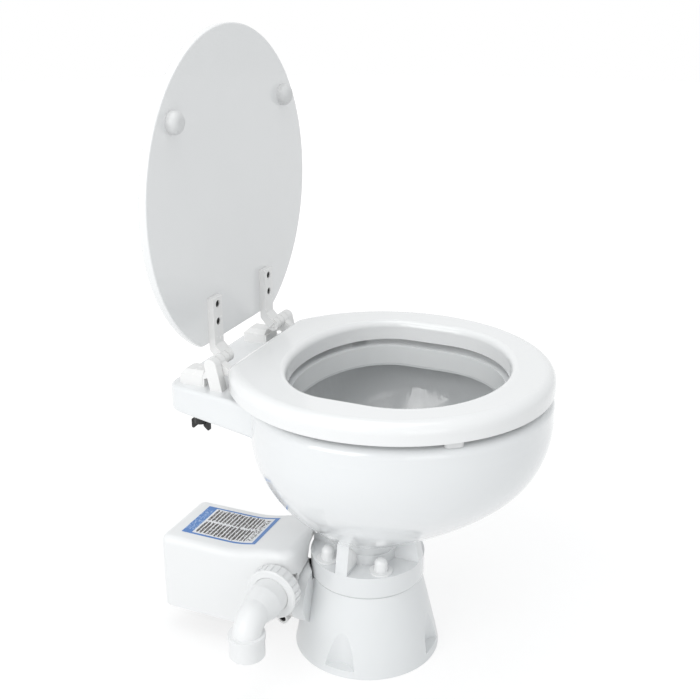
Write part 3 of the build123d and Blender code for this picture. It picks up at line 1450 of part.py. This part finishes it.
with BuildPart() as cover_screws:
    with BuildSketch(along_shaft(cover_rear)):
        with Locations(*cover_screw_places):
            Circle(cover_screw_head_radius)
    extrude(amount=cover_screw_head)
    with BuildSketch(along_shaft(cover_rear)):
        with Locations(*cover_screw_places):
            Circle(cover_screw_radius)
    extrude(amount=-cover_screw_length)
save(cover_screws, "cover_screws")

with BuildPart() as cover_label:
    add(skin_form)
    add(bed_form, mode=Mode.SUBTRACT)
    with BuildSketch(Plane.XY.offset(cover_rear_top - cover_wall)):
        with Locations(((label_near_x + label_far_x) / 2, (label_front + label_rear) / 2)):
            Rectangle(label_far_x - label_near_x, label_rear - label_front)
    extrude(amount=cover_front_top - cover_rear_top + cover_wall * 2, mode=Mode.INTERSECT)
save(cover_label, "cover_label")

with BuildPart() as cable_grommet:
    grommet_plane = Plane(origin=(cover_far_x + grommet_collar, grommet_y, grommet_z), x_dir=(0, 1, 0),
                          z_dir=(-1, 0, 0))
    with BuildSketch(grommet_plane):
        Circle(grommet_radius + grommet_groove)
    extrude(amount=grommet_collar)
    with BuildSketch(grommet_plane):
        Circle(grommet_radius - turning_gap)
    extrude(amount=grommet_collar + cover_wall)
    with BuildSketch(grommet_plane):
        Circle(grommet_bore)
    extrude(amount=grommet_collar + cover_wall, mode=Mode.SUBTRACT)
save(cable_grommet, "cable_grommet")

# Discharge: a rubber non-return valve in the port, the elbow that turns on it, and the ring nut
nut_start_x = -81.5
nut_end_x = -98.5
nut_radius = 29.0
nut_end_wall = 3.0
nut_rib_count = 24
nut_rib_depth = 0.9
nut_rib_width = 2.2
nut_chamfer = 1.5
elbow_root_radius = 20.5
elbow_root_end = -115.0
elbow_tube_radius = 15.8
elbow_drop_x = -153.0
elbow_bend_radius = 20.0
elbow_taper_end = elbow_drop_x + elbow_bend_radius
elbow_shoulder_z = 82.0
elbow_tail_radius = 19.0
elbow_tail_end = 55.0
elbow_lip_z = 76.5
elbow_lip_radius = 19.9
elbow_bore_radius = 12.5
elbow_flange_thickness = 3.6
elbow_tail_chamfer = 1.5
valve_radius = 13.4
valve_wall = 2.0
valve_length = 17.0
valve_lip_width = 3.0

with BuildPart() as joker_valve:
    port_ring(port_end_x + valve_flange_thickness, port_end_x, valve_flange_radius - turning_gap, 0)
    with BuildSketch(along_port(port_end_x + valve_flange_thickness)):
        Circle(valve_radius)
    with BuildSketch(along_port(port_end_x + valve_length)):
        SlotOverall(valve_radius * 2 - valve_wall, valve_lip_width + valve_wall * 2)
    loft()
    with BuildSketch(along_port(port_end_x)):
        Circle(valve_radius - valve_wall)
    with BuildSketch(along_port(port_end_x + valve_length)):
        SlotOverall(valve_radius * 2 - valve_wall * 3, valve_lip_width)
    loft(mode=Mode.SUBTRACT)
save(joker_valve, "joker_valve")

elbow_flange_start = port_end_x - joint_gap
elbow_flange_end = elbow_flange_start - elbow_flange_thickness
with BuildPart() as discharge_elbow:
    port_ring(elbow_flange_start, elbow_flange_end, port_thread_radius - joint_gap, 0)
    port_ring(elbow_flange_start, elbow_root_end, elbow_root_radius, 0)
    with BuildSketch(along_port(elbow_root_end)):
        Circle(elbow_root_radius)
    with BuildSketch(along_port(elbow_taper_end)):
        Circle(elbow_tube_radius)
    loft()
    with BuildSketch(along_port(elbow_taper_end)):
        Circle(elbow_tube_radius)
    revolve(axis=Axis((elbow_taper_end, port_y, port_z - elbow_bend_radius), (0, 1, 0)), revolution_arc=-90)
    with BuildSketch(Plane.XY.offset(elbow_tail_end)):
        with Locations((elbow_drop_x, port_y)):
            Circle(elbow_tail_radius)
    extrude(amount=elbow_shoulder_z - elbow_tail_end)
    chamfer(discharge_elbow.faces().sort_by(Axis.Z)[0].edges(), elbow_tail_chamfer)
    with BuildSketch(Plane.XY.offset(elbow_lip_z)):
        with Locations((elbow_drop_x, port_y)):
            Circle(elbow_lip_radius)
    extrude(amount=elbow_shoulder_z - elbow_lip_z)
    port_ring(elbow_flange_start, elbow_taper_end, elbow_bore_radius, 0, Mode.SUBTRACT)
    with BuildSketch(along_port(elbow_taper_end)):
        Circle(elbow_bore_radius)
    revolve(axis=Axis((elbow_taper_end, port_y, port_z - elbow_bend_radius), (0, 1, 0)), revolution_arc=-90,
            mode=Mode.SUBTRACT)
    with BuildSketch(Plane.XY.offset(elbow_tail_end)):
        with Locations((elbow_drop_x, port_y)):
            Circle(elbow_bore_radius)
    extrude(amount=port_z - elbow_bend_radius - elbow_tail_end, mode=Mode.SUBTRACT)
save(discharge_elbow, "discharge_elbow")

with BuildPart() as discharge_ring_nut:
    port_ring(nut_start_x, nut_end_x, nut_radius, 0)
    chamfer(discharge_ring_nut.edges().filter_by(GeomType.CIRCLE), nut_chamfer)
    with BuildSketch(along_port(nut_start_x)):
        with PolarLocations(nut_radius, nut_rib_count):
            Rectangle(nut_rib_depth * 2, nut_rib_width)
    extrude(amount=nut_start_x - nut_end_x - nut_end_wall, mode=Mode.SUBTRACT)
    port_ring(nut_start_x, nut_end_x + nut_end_wall, port_thread_radius + turning_gap, 0, Mode.SUBTRACT)
    port_ring(nut_start_x, nut_end_x, elbow_root_radius + joint_gap, 0, Mode.SUBTRACT)
save(discharge_ring_nut, "discharge_ring_nut")
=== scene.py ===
# %% [markdown]
# An electric marine toilet, dressed for its portrait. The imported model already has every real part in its
# real place and shape, so this script first loads that frame. Nothing on this toilet is soft or woven, so no
# part is modelled again here. Each part gets the finish of the real one, a white floor is laid under the
# toilet, and the light and the camera are set up.

# %% Load the frame
import json
import math

import bmesh
import bpy
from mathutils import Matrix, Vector


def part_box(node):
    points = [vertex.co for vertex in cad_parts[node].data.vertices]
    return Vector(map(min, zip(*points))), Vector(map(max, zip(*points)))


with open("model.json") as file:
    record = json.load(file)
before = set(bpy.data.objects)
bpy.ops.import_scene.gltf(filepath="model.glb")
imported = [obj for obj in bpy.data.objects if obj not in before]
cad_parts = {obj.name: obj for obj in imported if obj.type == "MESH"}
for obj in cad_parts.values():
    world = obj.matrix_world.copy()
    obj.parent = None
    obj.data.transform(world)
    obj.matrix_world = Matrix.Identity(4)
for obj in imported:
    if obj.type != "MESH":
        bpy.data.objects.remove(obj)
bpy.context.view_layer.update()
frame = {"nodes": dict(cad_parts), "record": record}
nodes = frame["nodes"]
MM = 0.001
print("frame loaded with", len(nodes), "parts")

# %% [markdown]
# Shader graphs are easier to read as sums than as boxes and wires. The Value class wraps one socket, and
# adding or multiplying two Values adds the Math node that does it. Everything else goes through one method
# of the Finish class, which makes a node, sets it up and links its inputs.

# %% Values that add up
class Value:
    """One output socket that can be used in Python expressions."""

    def __init__(self, finish, socket):
        self.finish = finish
        self.socket = socket

    def math(self, operation, *others):
        node = self.finish.node("ShaderNodeMath", {"operation": operation}, [self, *others])
        return Value(self.finish, node.outputs[0])

    def __add__(self, other):
        return self.math("ADD", other)

    __radd__ = __add__

    def __mul__(self, other):
        return self.math("MULTIPLY", other)

    __rmul__ = __mul__

    def __sub__(self, other):
        return self.math("SUBTRACT", other)

    def __rsub__(self, other):
        return (self * -1) + other

    def __truediv__(self, other):
        return self.math("DIVIDE", other)

    def __gt__(self, other):
        return self.math("GREATER_THAN", other)

    def __lt__(self, other):
        return self.math("LESS_THAN", other)

    def clamp(self):
        node = self.finish.node("ShaderNodeClamp", {}, [self])
        return Value(self.finish, node.outputs[0])


print("sockets can be added, multiplied and compared")

# %% [markdown]
# A finish is one material being made. It starts with the place of the shaded point in metres, because the
# patterns here are laid out in real sizes. Its noise is given by the size of its lumps, which is easier to
# judge against a real surface than a scale. A Mix node for colours has its share in socket 0 and its two
# colours in sockets 6 and 7.

# %% A finish under construction
class Finish:
    """One material under construction, with its shader and the place of the shaded point."""

    def __init__(self, name):
        self.material = bpy.data.materials.new(name)
        self.material.use_nodes = True
        self.tree = self.material.node_tree
        self.shader = self.tree.nodes["Principled BSDF"]
        place = self.node("ShaderNodeTexCoord")
        self.place = Value(self, place.outputs["Object"])
        parts = self.node("ShaderNodeSeparateXYZ", {}, [self.place])
        self.x, self.y, self.z = (Value(self, output) for output in parts.outputs)

    def node(self, kind, settings=None, inputs=()):
        node = self.tree.nodes.new(kind)
        for key, value in (settings or {}).items():
            setattr(node, key, value)
        pairs = inputs.items() if isinstance(inputs, dict) else enumerate(inputs)
        for key, value in pairs:
            self.plug(node.inputs[key], value)
        return node

    def plug(self, target, value):
        if isinstance(value, Value):
            self.tree.links.new(value.socket, target)
        else:
            target.default_value = value

    def noise(self, size, detail=2.0, stretch=(1, 1, 1), place=None):
        """Noise whose lumps are about this many metres across, from 0 to 1."""
        scaled = self.node("ShaderNodeMapping", {}, {"Vector": place or self.place, "Scale": stretch})
        texture = self.node("ShaderNodeTexNoise", {}, {"Vector": Value(self, scaled.outputs[0]),
                                                       "Scale": 1 / size, "Detail": detail})
        return Value(self, texture.outputs["Fac"])

    def mix(self, share, low, high):
        """A colour between two others."""
        node = self.node("ShaderNodeMix", {"data_type": "RGBA"}, {0: share, 6: low, 7: high})
        return Value(self, node.outputs[2])

    def set(self, **values):
        for key, value in values.items():
            self.plug(self.shader.inputs[key.replace("_", " ")], value)

    def bump(self, height, distance, strength=1.0):
        node = self.node("ShaderNodeBump", {}, {"Strength": strength, "Distance": distance, "Height": height})
        self.set(Normal=Value(self, node.outputs[0]))


def shade(level, tint=(1.0, 1.0, 1.0)):
    """A grey of this level, tinted."""
    return (level * tint[0], level * tint[1], level * tint[2], 1.0)


def lighter(colour, times):
    """The same colour, this many times as strong."""
    return tuple(part * times for part in colour[:3]) + (1.0,)


print("finish helpers are ready")

# %% [markdown]
# The bowl is vitreous china. Its glaze is poured and fired, so it is very smooth and mirror-like, with a
# long slow waviness that bends reflections. Inside the basin its colour is made grey, which is painted shade,
# and the rim's inner wall above it a little darker, also painted shade. Pale streaks that all point at the
# drain are painted highlights on that grey. They come from a noise laid out by direction from the drain
# instead of by place, so that it is drawn out down the slope, and the same noise gives the basin's glaze a
# rough bump.
# Inside and outside could be two materials, one on each set of faces. Here one material tells them apart,
# because the surfaces that face the drain are the inside ones, and that holds whatever the mesh looks like.

# %% China
drain_y = -0.025
inside_reach = 0.16
sump_top = 0.12
basin_top = 0.2985
lip_top = 0.3195
# The painted highlights in the basin stop at this height.
painted_highlight_top = 0.25
body_levels = (0.80, 0.835)
# The rim's inner wall is a little darker than the outside china: painted shade.
rim_wall_shade_levels = (0.74, 0.79)
# Grey of the painted shade in the basin, and of the painted highlights on it.
shade_and_highlight_levels = (0.66, 0.96)
body_tint = (0.985, 1.0, 1.008)
rim_wall_shade_tint = (0.985, 1.0, 1.0)
painted_shade_tint = (0.98, 1.0, 1.01)
painted_highlight_tint = (1.0, 1.0, 0.995)


def make_china():
    finish = Finish("china")
    geometry = finish.node("ShaderNodeNewGeometry")
    facing = finish.node("ShaderNodeSeparateXYZ", {}, [Value(finish, geometry.outputs["True Normal"])])
    normal_x, normal_y, _ = (Value(finish, output) for output in facing.outputs)
    shifted = finish.y - drain_y
    reach = (finish.x * finish.x + shifted * shifted).math("SQRT")
    inward = (finish.x * normal_x + shifted * normal_y) < 0.0
    within = (reach < inside_reach) * inward * (finish.z > sump_top) * (finish.z < lip_top)
    under_rim = finish.z < basin_top
    way = (finish.x / reach, shifted / reach, finish.z * 5.0)
    around = Value(finish, finish.node("ShaderNodeCombineXYZ", {}, way).outputs[0])
    # This noise lays out the painted highlights and roughens the basin's bump.
    highlight_streaks = finish.noise(0.16, 3.0, place=around)
    fine_runs = finish.noise(0.05, 2.0, (1, 1, 0.6), around)
    cloud = finish.noise(0.09)
    body = finish.mix(cloud, shade(body_levels[0], body_tint), shade(body_levels[1], body_tint))
    # The rim's inner wall gets a darker grey, painted shade under the seat.
    rim_wall_shade = finish.mix(cloud, shade(rim_wall_shade_levels[0], rim_wall_shade_tint), shade(rim_wall_shade_levels[1], rim_wall_shade_tint))
    # Pale streaks low in the basin: painted highlights.
    pale = ((highlight_streaks - 0.38) * 5.0).clamp() * ((painted_highlight_top - finish.z) * 22.0).clamp()
    # The basin's grey is painted shade, with the painted highlights laid over it.
    basin_shade_and_highlight = finish.mix(pale, shade(shade_and_highlight_levels[0], painted_shade_tint), shade(shade_and_highlight_levels[1], painted_highlight_tint))
    inside = finish.mix(under_rim, rim_wall_shade, basin_shade_and_highlight)
    finish.set(Base_Color=finish.mix(within, body, inside))
    finish.set(Roughness=finish.noise(0.02) * 0.05 + 0.07)
    finish.set(Coat_Weight=0.6, Coat_Roughness=0.04)
    wave = finish.noise(0.045, 1.0) * 0.25
    rough_runs = (highlight_streaks * 2.2 + fine_runs * 0.5) * (within * under_rim)
    finish.bump(wave + rough_runs, 0.0009, 0.5)
    return finish.material


finishes = {"china": make_china()}
# This prints how far up the basin the painted highlights reach.
print("china: glaze runs reach", round((painted_highlight_top - sump_top) / MM), "mm up the basin")

# %% [markdown]
# Most other outside parts are white plastics that differ in how they were made. The pedestal, hood and
# elbow are moulded and have a fine satin grain. The seat and lid are enamelled, which is glossier. One
# function makes them all from a level of white, a roughness and the size and depth of the grain. Nine
# separate graphs would do the same, but then a change to the way plastic looks would be made nine times.

# %% White plastics
warm_white = (1.0, 0.995, 0.985)
plain_white = (0.995, 1.0, 1.0)
cool_white = (0.985, 1.0, 1.005)
pale_grey = (0.98, 1.0, 1.0)
satin_grain = 0.7 * MM
hood_grain = 0.6 * MM


def make_moulding(name, level, tint, roughness, grain, grain_depth, coat=0.0):
    finish = Finish(name)
    cloud = finish.noise(0.06)
    finish.set(Base_Color=finish.mix(cloud, shade(level * 0.975, tint), shade(level, tint)))
    finish.set(Roughness=finish.noise(0.012) * 0.08 + roughness)
    finish.set(Coat_Weight=coat)
    finish.bump(finish.noise(grain, 3.0), grain_depth, 0.3)
    finishes[name] = finish.material


make_moulding("pedestal_plastic", 0.85, cool_white, 0.26, satin_grain, 0.03 * MM)
make_moulding("seat_enamel", 0.86, plain_white, 0.14, 4.0 * MM, 0.05 * MM, 0.4)
make_moulding("hinge_plastic", 0.87, warm_white, 0.22, satin_grain, 0.02 * MM)
make_moulding("bumper_plastic", 0.72, plain_white, 0.4, hood_grain, 0.02 * MM)
make_moulding("cover_plastic", 0.87, plain_white, 0.3, hood_grain, 0.02 * MM)
make_moulding("discharge_plastic", 0.85, plain_white, 0.3, satin_grain, 0.03 * MM)
make_moulding("nut_plastic", 0.88, plain_white, 0.2, satin_grain, 0.02 * MM)
make_moulding("pump_plastic", 0.78, warm_white, 0.4, hood_grain, 0.03 * MM)
make_moulding("pale_rubber", 0.58, pale_grey, 0.6, 0.9 * MM, 0.03 * MM)
print("white mouldings done, finishes so far:", len(finishes))

# %% [markdown]
# Metal and rubber parts are mostly hidden, but they show from below and behind. Turned steel has streaks
# round its axis, so its roughness comes from a noise that is squeezed along one direction. The shader's own
# anisotropy could do that too, but a roughness that varies can be baked when the model is exported. Rubber,
# carbon and paint are dark and speckled, and differ only in how dark, how rough and how coarse they are.

# %% Metal, rubber and paint
def make_metal(name, colour, roughness):
    finish = Finish(name)
    streak = finish.noise(1.2 * MM, 2.0, (1, 0.06, 1))
    finish.set(Base_Color=finish.mix(streak, colour, lighter(colour, 1.12)))
    finish.set(Metallic=1.0)
    finish.set(Roughness=streak * 0.18 + roughness)
    finish.bump(streak, 0.02 * MM, 0.4)
    finishes[name] = finish.material


def make_dark(name, colour, roughness, grain):
    finish = Finish(name)
    speck = finish.noise(grain, 3.0)
    finish.set(Base_Color=finish.mix(speck, colour, lighter(colour, 1.5)))
    finish.set(Roughness=speck * 0.15 + roughness)
    finish.bump(speck, grain * 0.1, 0.4)
    finishes[name] = finish.material


make_dark("wing_plastic", shade(0.012), 0.4, 0.8 * MM)
make_dark("rubber", shade(0.02), 0.6, 0.7 * MM)
make_dark("motor_paint", (0.02, 0.02, 0.022, 1.0), 0.32, 0.9 * MM)
make_dark("carbon", shade(0.02), 0.7, 0.5 * MM)
make_metal("steel", (0.58, 0.58, 0.57, 1.0), 0.2)
# The screws with this finish sit deep in holes, and their steel is made nearly black: painted shade.
make_metal("screw_dark", shade(0.035), 0.35)
make_metal("laminated_iron", (0.13, 0.13, 0.135, 1.0), 0.45)
make_metal("copper", (0.6, 0.25, 0.12, 1.0), 0.25)
print("metals and darks done, finishes so far:", len(finishes))

# %% [markdown]
# The label on the hood is a printed film: a blue frame that is wider at the front, a broad blue band at the
# rear, and two columns of short dark bars that stand for its print. The pattern is worked out from the
# place of each point, in metres, so it needs no picture. A little noise bends and breaks the bars, as ink
# does on a rough film, and they say nothing.

# %% Where things are on the label
label_low, label_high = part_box("cover_label")
label_width = label_high.x - label_low.x
side_frame = 2.6 * MM
front_frame = 5.2 * MM
band_width = 12.0 * MM
bar_pitch = 4.7 * MM
bars_front = 17.0 * MM
bars_rear = band_width + 2.4 * MM
note_front = 8.0 * MM
note_rear = 16.0 * MM
print("label is", round(label_width / MM, 1), "mm wide")

# %% [markdown]
# Each piece of the print is a mask that is 1 inside it and 0 outside, and masks multiply and add like any
# other number. The bars come from the fraction that is left when the place is divided by their pitch. The
# colours are then laid over each other: ink on paper, the blue on both, and faint marks on the blue.

# %% Label
def make_label():
    finish = Finish("label_print")
    from_side = finish.x - label_low.x
    from_front = finish.y - label_low.y
    from_rear = label_high.y - finish.y
    along = from_side * (1 / label_width)
    edge = (from_side < side_frame) + (from_side > label_width - side_frame) + (from_front < front_frame)
    band = from_rear < band_width
    wobble = finish.noise(2.2 * MM, 1.0) * (1.7 * MM)
    bar = ((finish.y + wobble) * (1 / bar_pitch)).math("FRACT") < 0.66
    ends = finish.noise(2.6 * MM, 0.0, (0.3, 1.6, 1)) * 0.09
    near_column = (along > ends + 0.04) * (along < 0.53 - ends)
    far_column = (along > ends + 0.49) * (along < 0.975 - ends)
    columns = (near_column + far_column).clamp()
    lines = columns * (from_front > bars_front) * (from_rear > bars_rear)
    broken = finish.noise(1.5 * MM, 1.0) > 0.37
    middle = (along > 0.12) * (along < 0.88)
    note = (from_front > note_front) * (from_front < note_rear) * middle
    dots = note * (finish.noise(1.3 * MM, 0.0, (0.6, 1.0, 1)) > 0.56)
    ink = (bar * lines * broken + dots).clamp()
    film_tint = (1.0, 1.0, 1.02)
    paper = finish.mix(finish.noise(0.03), shade(0.78, film_tint), shade(0.84, film_tint))
    blue = finish.mix(finish.noise(0.02), (0.060, 0.190, 0.500, 1.0), (0.085, 0.235, 0.570, 1.0))
    band_marks = band * (finish.noise(2.0 * MM, 1.0, (0.5, 1.2, 1)) > 0.55) * middle
    colour = finish.mix(ink, paper, (0.050, 0.042, 0.040, 1.0))
    colour = finish.mix((edge + band).clamp(), colour, blue)
    colour = finish.mix(band_marks * 0.6, colour, (0.45, 0.58, 0.80, 1.0))
    finish.set(Base_Color=colour)
    finish.set(Roughness=finish.noise(0.01) * 0.08 + 0.3)
    finish.bump(finish.noise(0.02), 0.2 * MM, 0.2)
    return finish.material


finishes["label_print"] = make_label()
print("label printed")

# %% [markdown]
# The imported record says which material slot each part has, and a finish with the same name goes on it. That
# is safer than a list of parts kept here, which could miss one. Two parts look unlike the rest of their
# slots: the gasket under the bowl is a pale rubber, and the drain screw is made nearly black, which is
# painted shade for the hole it sits in.

# %% Give every part its finish
slot_of = {part["node"]: part["material_slot"] for part in frame["record"]["subparts"]}
slot_of["bowl_gasket"] = "pale_rubber"
# The drain screw's near-black steel is painted shade for the hole around it.
slot_of["drain_screw"] = "screw_dark"
for name, part in nodes.items():
    part.data.materials.clear()
    part.data.materials.append(finishes[slot_of[name]])
print("finishes:", len(finishes), "on", len(nodes), "parts")

# %% [markdown]
# The photograph is a cut-out on pure white, with only a faint soft shadow where the toilet touches the
# ground. A real white floor would need far too much light to look that white, so the floor is matt and pale
# for the light that bounces off it, and for the eye it is mostly a plain white glow. The glow takes a larger
# share further out, where no shadow falls. It is left out under the pedestal, so that nobody looks through
# the screw holes in its foot onto plain white.

# %% Floor
floor_radius = 6.0
floor_drop = 0.3 * MM
near_share = 0.66
fade_start = 0.35
glow_strength = 1.14
pedestal_reach = 80.0 * MM


def make_floor():
    mesh = bpy.data.meshes.new("floor")
    shape = bmesh.new()
    bmesh.ops.create_circle(shape, cap_ends=True, segments=96, radius=floor_radius)
    shape.to_mesh(mesh)
    shape.free()
    floor = bpy.data.objects.new("floor", mesh)
    bpy.context.collection.objects.link(floor)
    floor.location.z = -floor_drop
    finish = Finish("floor")
    finish.set(Base_Color=shade(0.86), Specular_IOR_Level=0.1)
    finish.set(Roughness=finish.noise(0.3) * 0.04 + 0.9)
    rays = finish.node("ShaderNodeLightPath")
    seen = Value(finish, rays.outputs["Is Camera Ray"]) + Value(finish, rays.outputs["Is Glossy Ray"])
    seen = (seen + Value(finish, rays.outputs["Is Transmission Ray"])).clamp()
    out = (finish.x * finish.x + finish.y * finish.y).math("SQRT")
    faded = ((out - fade_start) * 1.6).clamp() * (1 - near_share) + near_share
    glow = finish.node("ShaderNodeEmission", {}, {"Color": (1, 1, 1, 1), "Strength": glow_strength})
    blend = finish.node("ShaderNodeMixShader", {}, {0: seen * faded * (out > pedestal_reach)})
    output = finish.tree.nodes["Material Output"]
    finish.tree.links.new(finish.shader.outputs[0], blend.inputs[1])
    finish.tree.links.new(glow.outputs[0], blend.inputs[2])
    finish.tree.links.new(blend.outputs[0], output.inputs["Surface"])
    mesh.materials.append(finish.material)
    print("floor laid at", round(floor.location.z, 5))


make_floor()

# %% [markdown]
# The sky does most of the lighting, because a white toilet in a white studio is lit from everywhere. It is a
# little cool, as the shaded sides in the photograph are. Seen straight or in the glaze it is plain white. A
# panorama of a real studio could light it too, but an even sky needs no picture and shows no windows.

# %% Sky
sky_level = 0.67
sky_tint = (0.96, 0.985, 1.0, 1.0)


def make_sky():
    world = bpy.data.worlds.new("studio")
    bpy.context.scene.world = world
    world.use_nodes = True
    sky = world.node_tree
    rays = sky.nodes.new("ShaderNodeLightPath")
    plain = sky.nodes["Background"]
    plain.inputs["Color"].default_value = sky_tint
    plain.inputs["Strength"].default_value = sky_level
    bright = sky.nodes.new("ShaderNodeBackground")
    bright.inputs["Color"].default_value = (1, 1, 1, 1)
    seen = rays.outputs["Is Camera Ray"]
    for kind in ("Is Glossy Ray", "Is Transmission Ray"):
        either = sky.nodes.new("ShaderNodeMath")
        either.operation = "MAXIMUM"
        sky.links.new(seen, either.inputs[0])
        sky.links.new(rays.outputs[kind], either.inputs[1])
        seen = either.outputs[0]
    choose = sky.nodes.new("ShaderNodeMixShader")
    sky.links.new(seen, choose.inputs[0])
    sky.links.new(plain.outputs[0], choose.inputs[1])
    sky.links.new(bright.outputs[0], choose.inputs[2])
    sky.links.new(choose.outputs[0], sky.nodes["World Output"].inputs["Surface"])


make_sky()
print("sky level", sky_level)

# %% [markdown]
# Three large soft lamps shape the white. The main one stands behind the camera's left shoulder, so the left
# sides are the brightest and the right sides fall off to a light grey. A weak one behind the right shoulder
# lifts the near faces, and one overhead lights the seat and the inside of the basin. Small lamps would need
# less room, but they draw hard shadows, and the photograph has none.

# %% Lamps
def add_lamp(name, place, aim, size, power):
    lamp = bpy.data.lights.new(name, "AREA")
    lamp.shape = "RECTANGLE"
    lamp.size, lamp.size_y = size
    lamp.energy = power
    holder = bpy.data.objects.new(name, lamp)
    bpy.context.collection.objects.link(holder)
    holder.location = place
    holder.rotation_euler = (Vector(aim) - Vector(place)).to_track_quat("-Z", "Y").to_euler()
    print(name, "at", place, "with", power, "watts")


centre = (0, 0, 0.3)
add_lamp("main_lamp", (-2.0, 0.6, 1.3), centre, (1.5, 1.5), 19)
add_lamp("front_lamp", (-1.6, -1.4, 0.7), centre, (1.0, 1.2), 3)
add_lamp("top_lamp", (-0.3, 0.1, 2.2), centre, (1.3, 1.3), 9)

# %% [markdown]
# The camera stands to the left of the toilet, a little above the seat, and looks down by about twenty
# degrees. It could be placed by eye. Here its place and its angles were worked out from the outlines of the
# seat, lid and pedestal, as the one view in which round things are round and upright things are upright.

# %% Camera
sensor_width = 36.0
focal_pixels = 1055.55
picture_pixels = 700
look_down = 20.5835
turn_right = 66.7404
camera_data = bpy.data.cameras.new("portrait")
camera_data.sensor_width = sensor_width
camera_data.lens = focal_pixels / picture_pixels * sensor_width
camera = bpy.data.objects.new("portrait", camera_data)
bpy.context.collection.objects.link(camera)
camera.location = (-0.9598, -0.3909, 0.7439)
camera.rotation_euler = (math.radians(90 - look_down), 0, math.radians(-turn_right))
bpy.context.scene.camera = camera
bpy.context.scene.view_settings.view_transform = "Standard"
print("camera lens", round(camera_data.lens, 2), "mm, looking down by", look_down, "degrees")
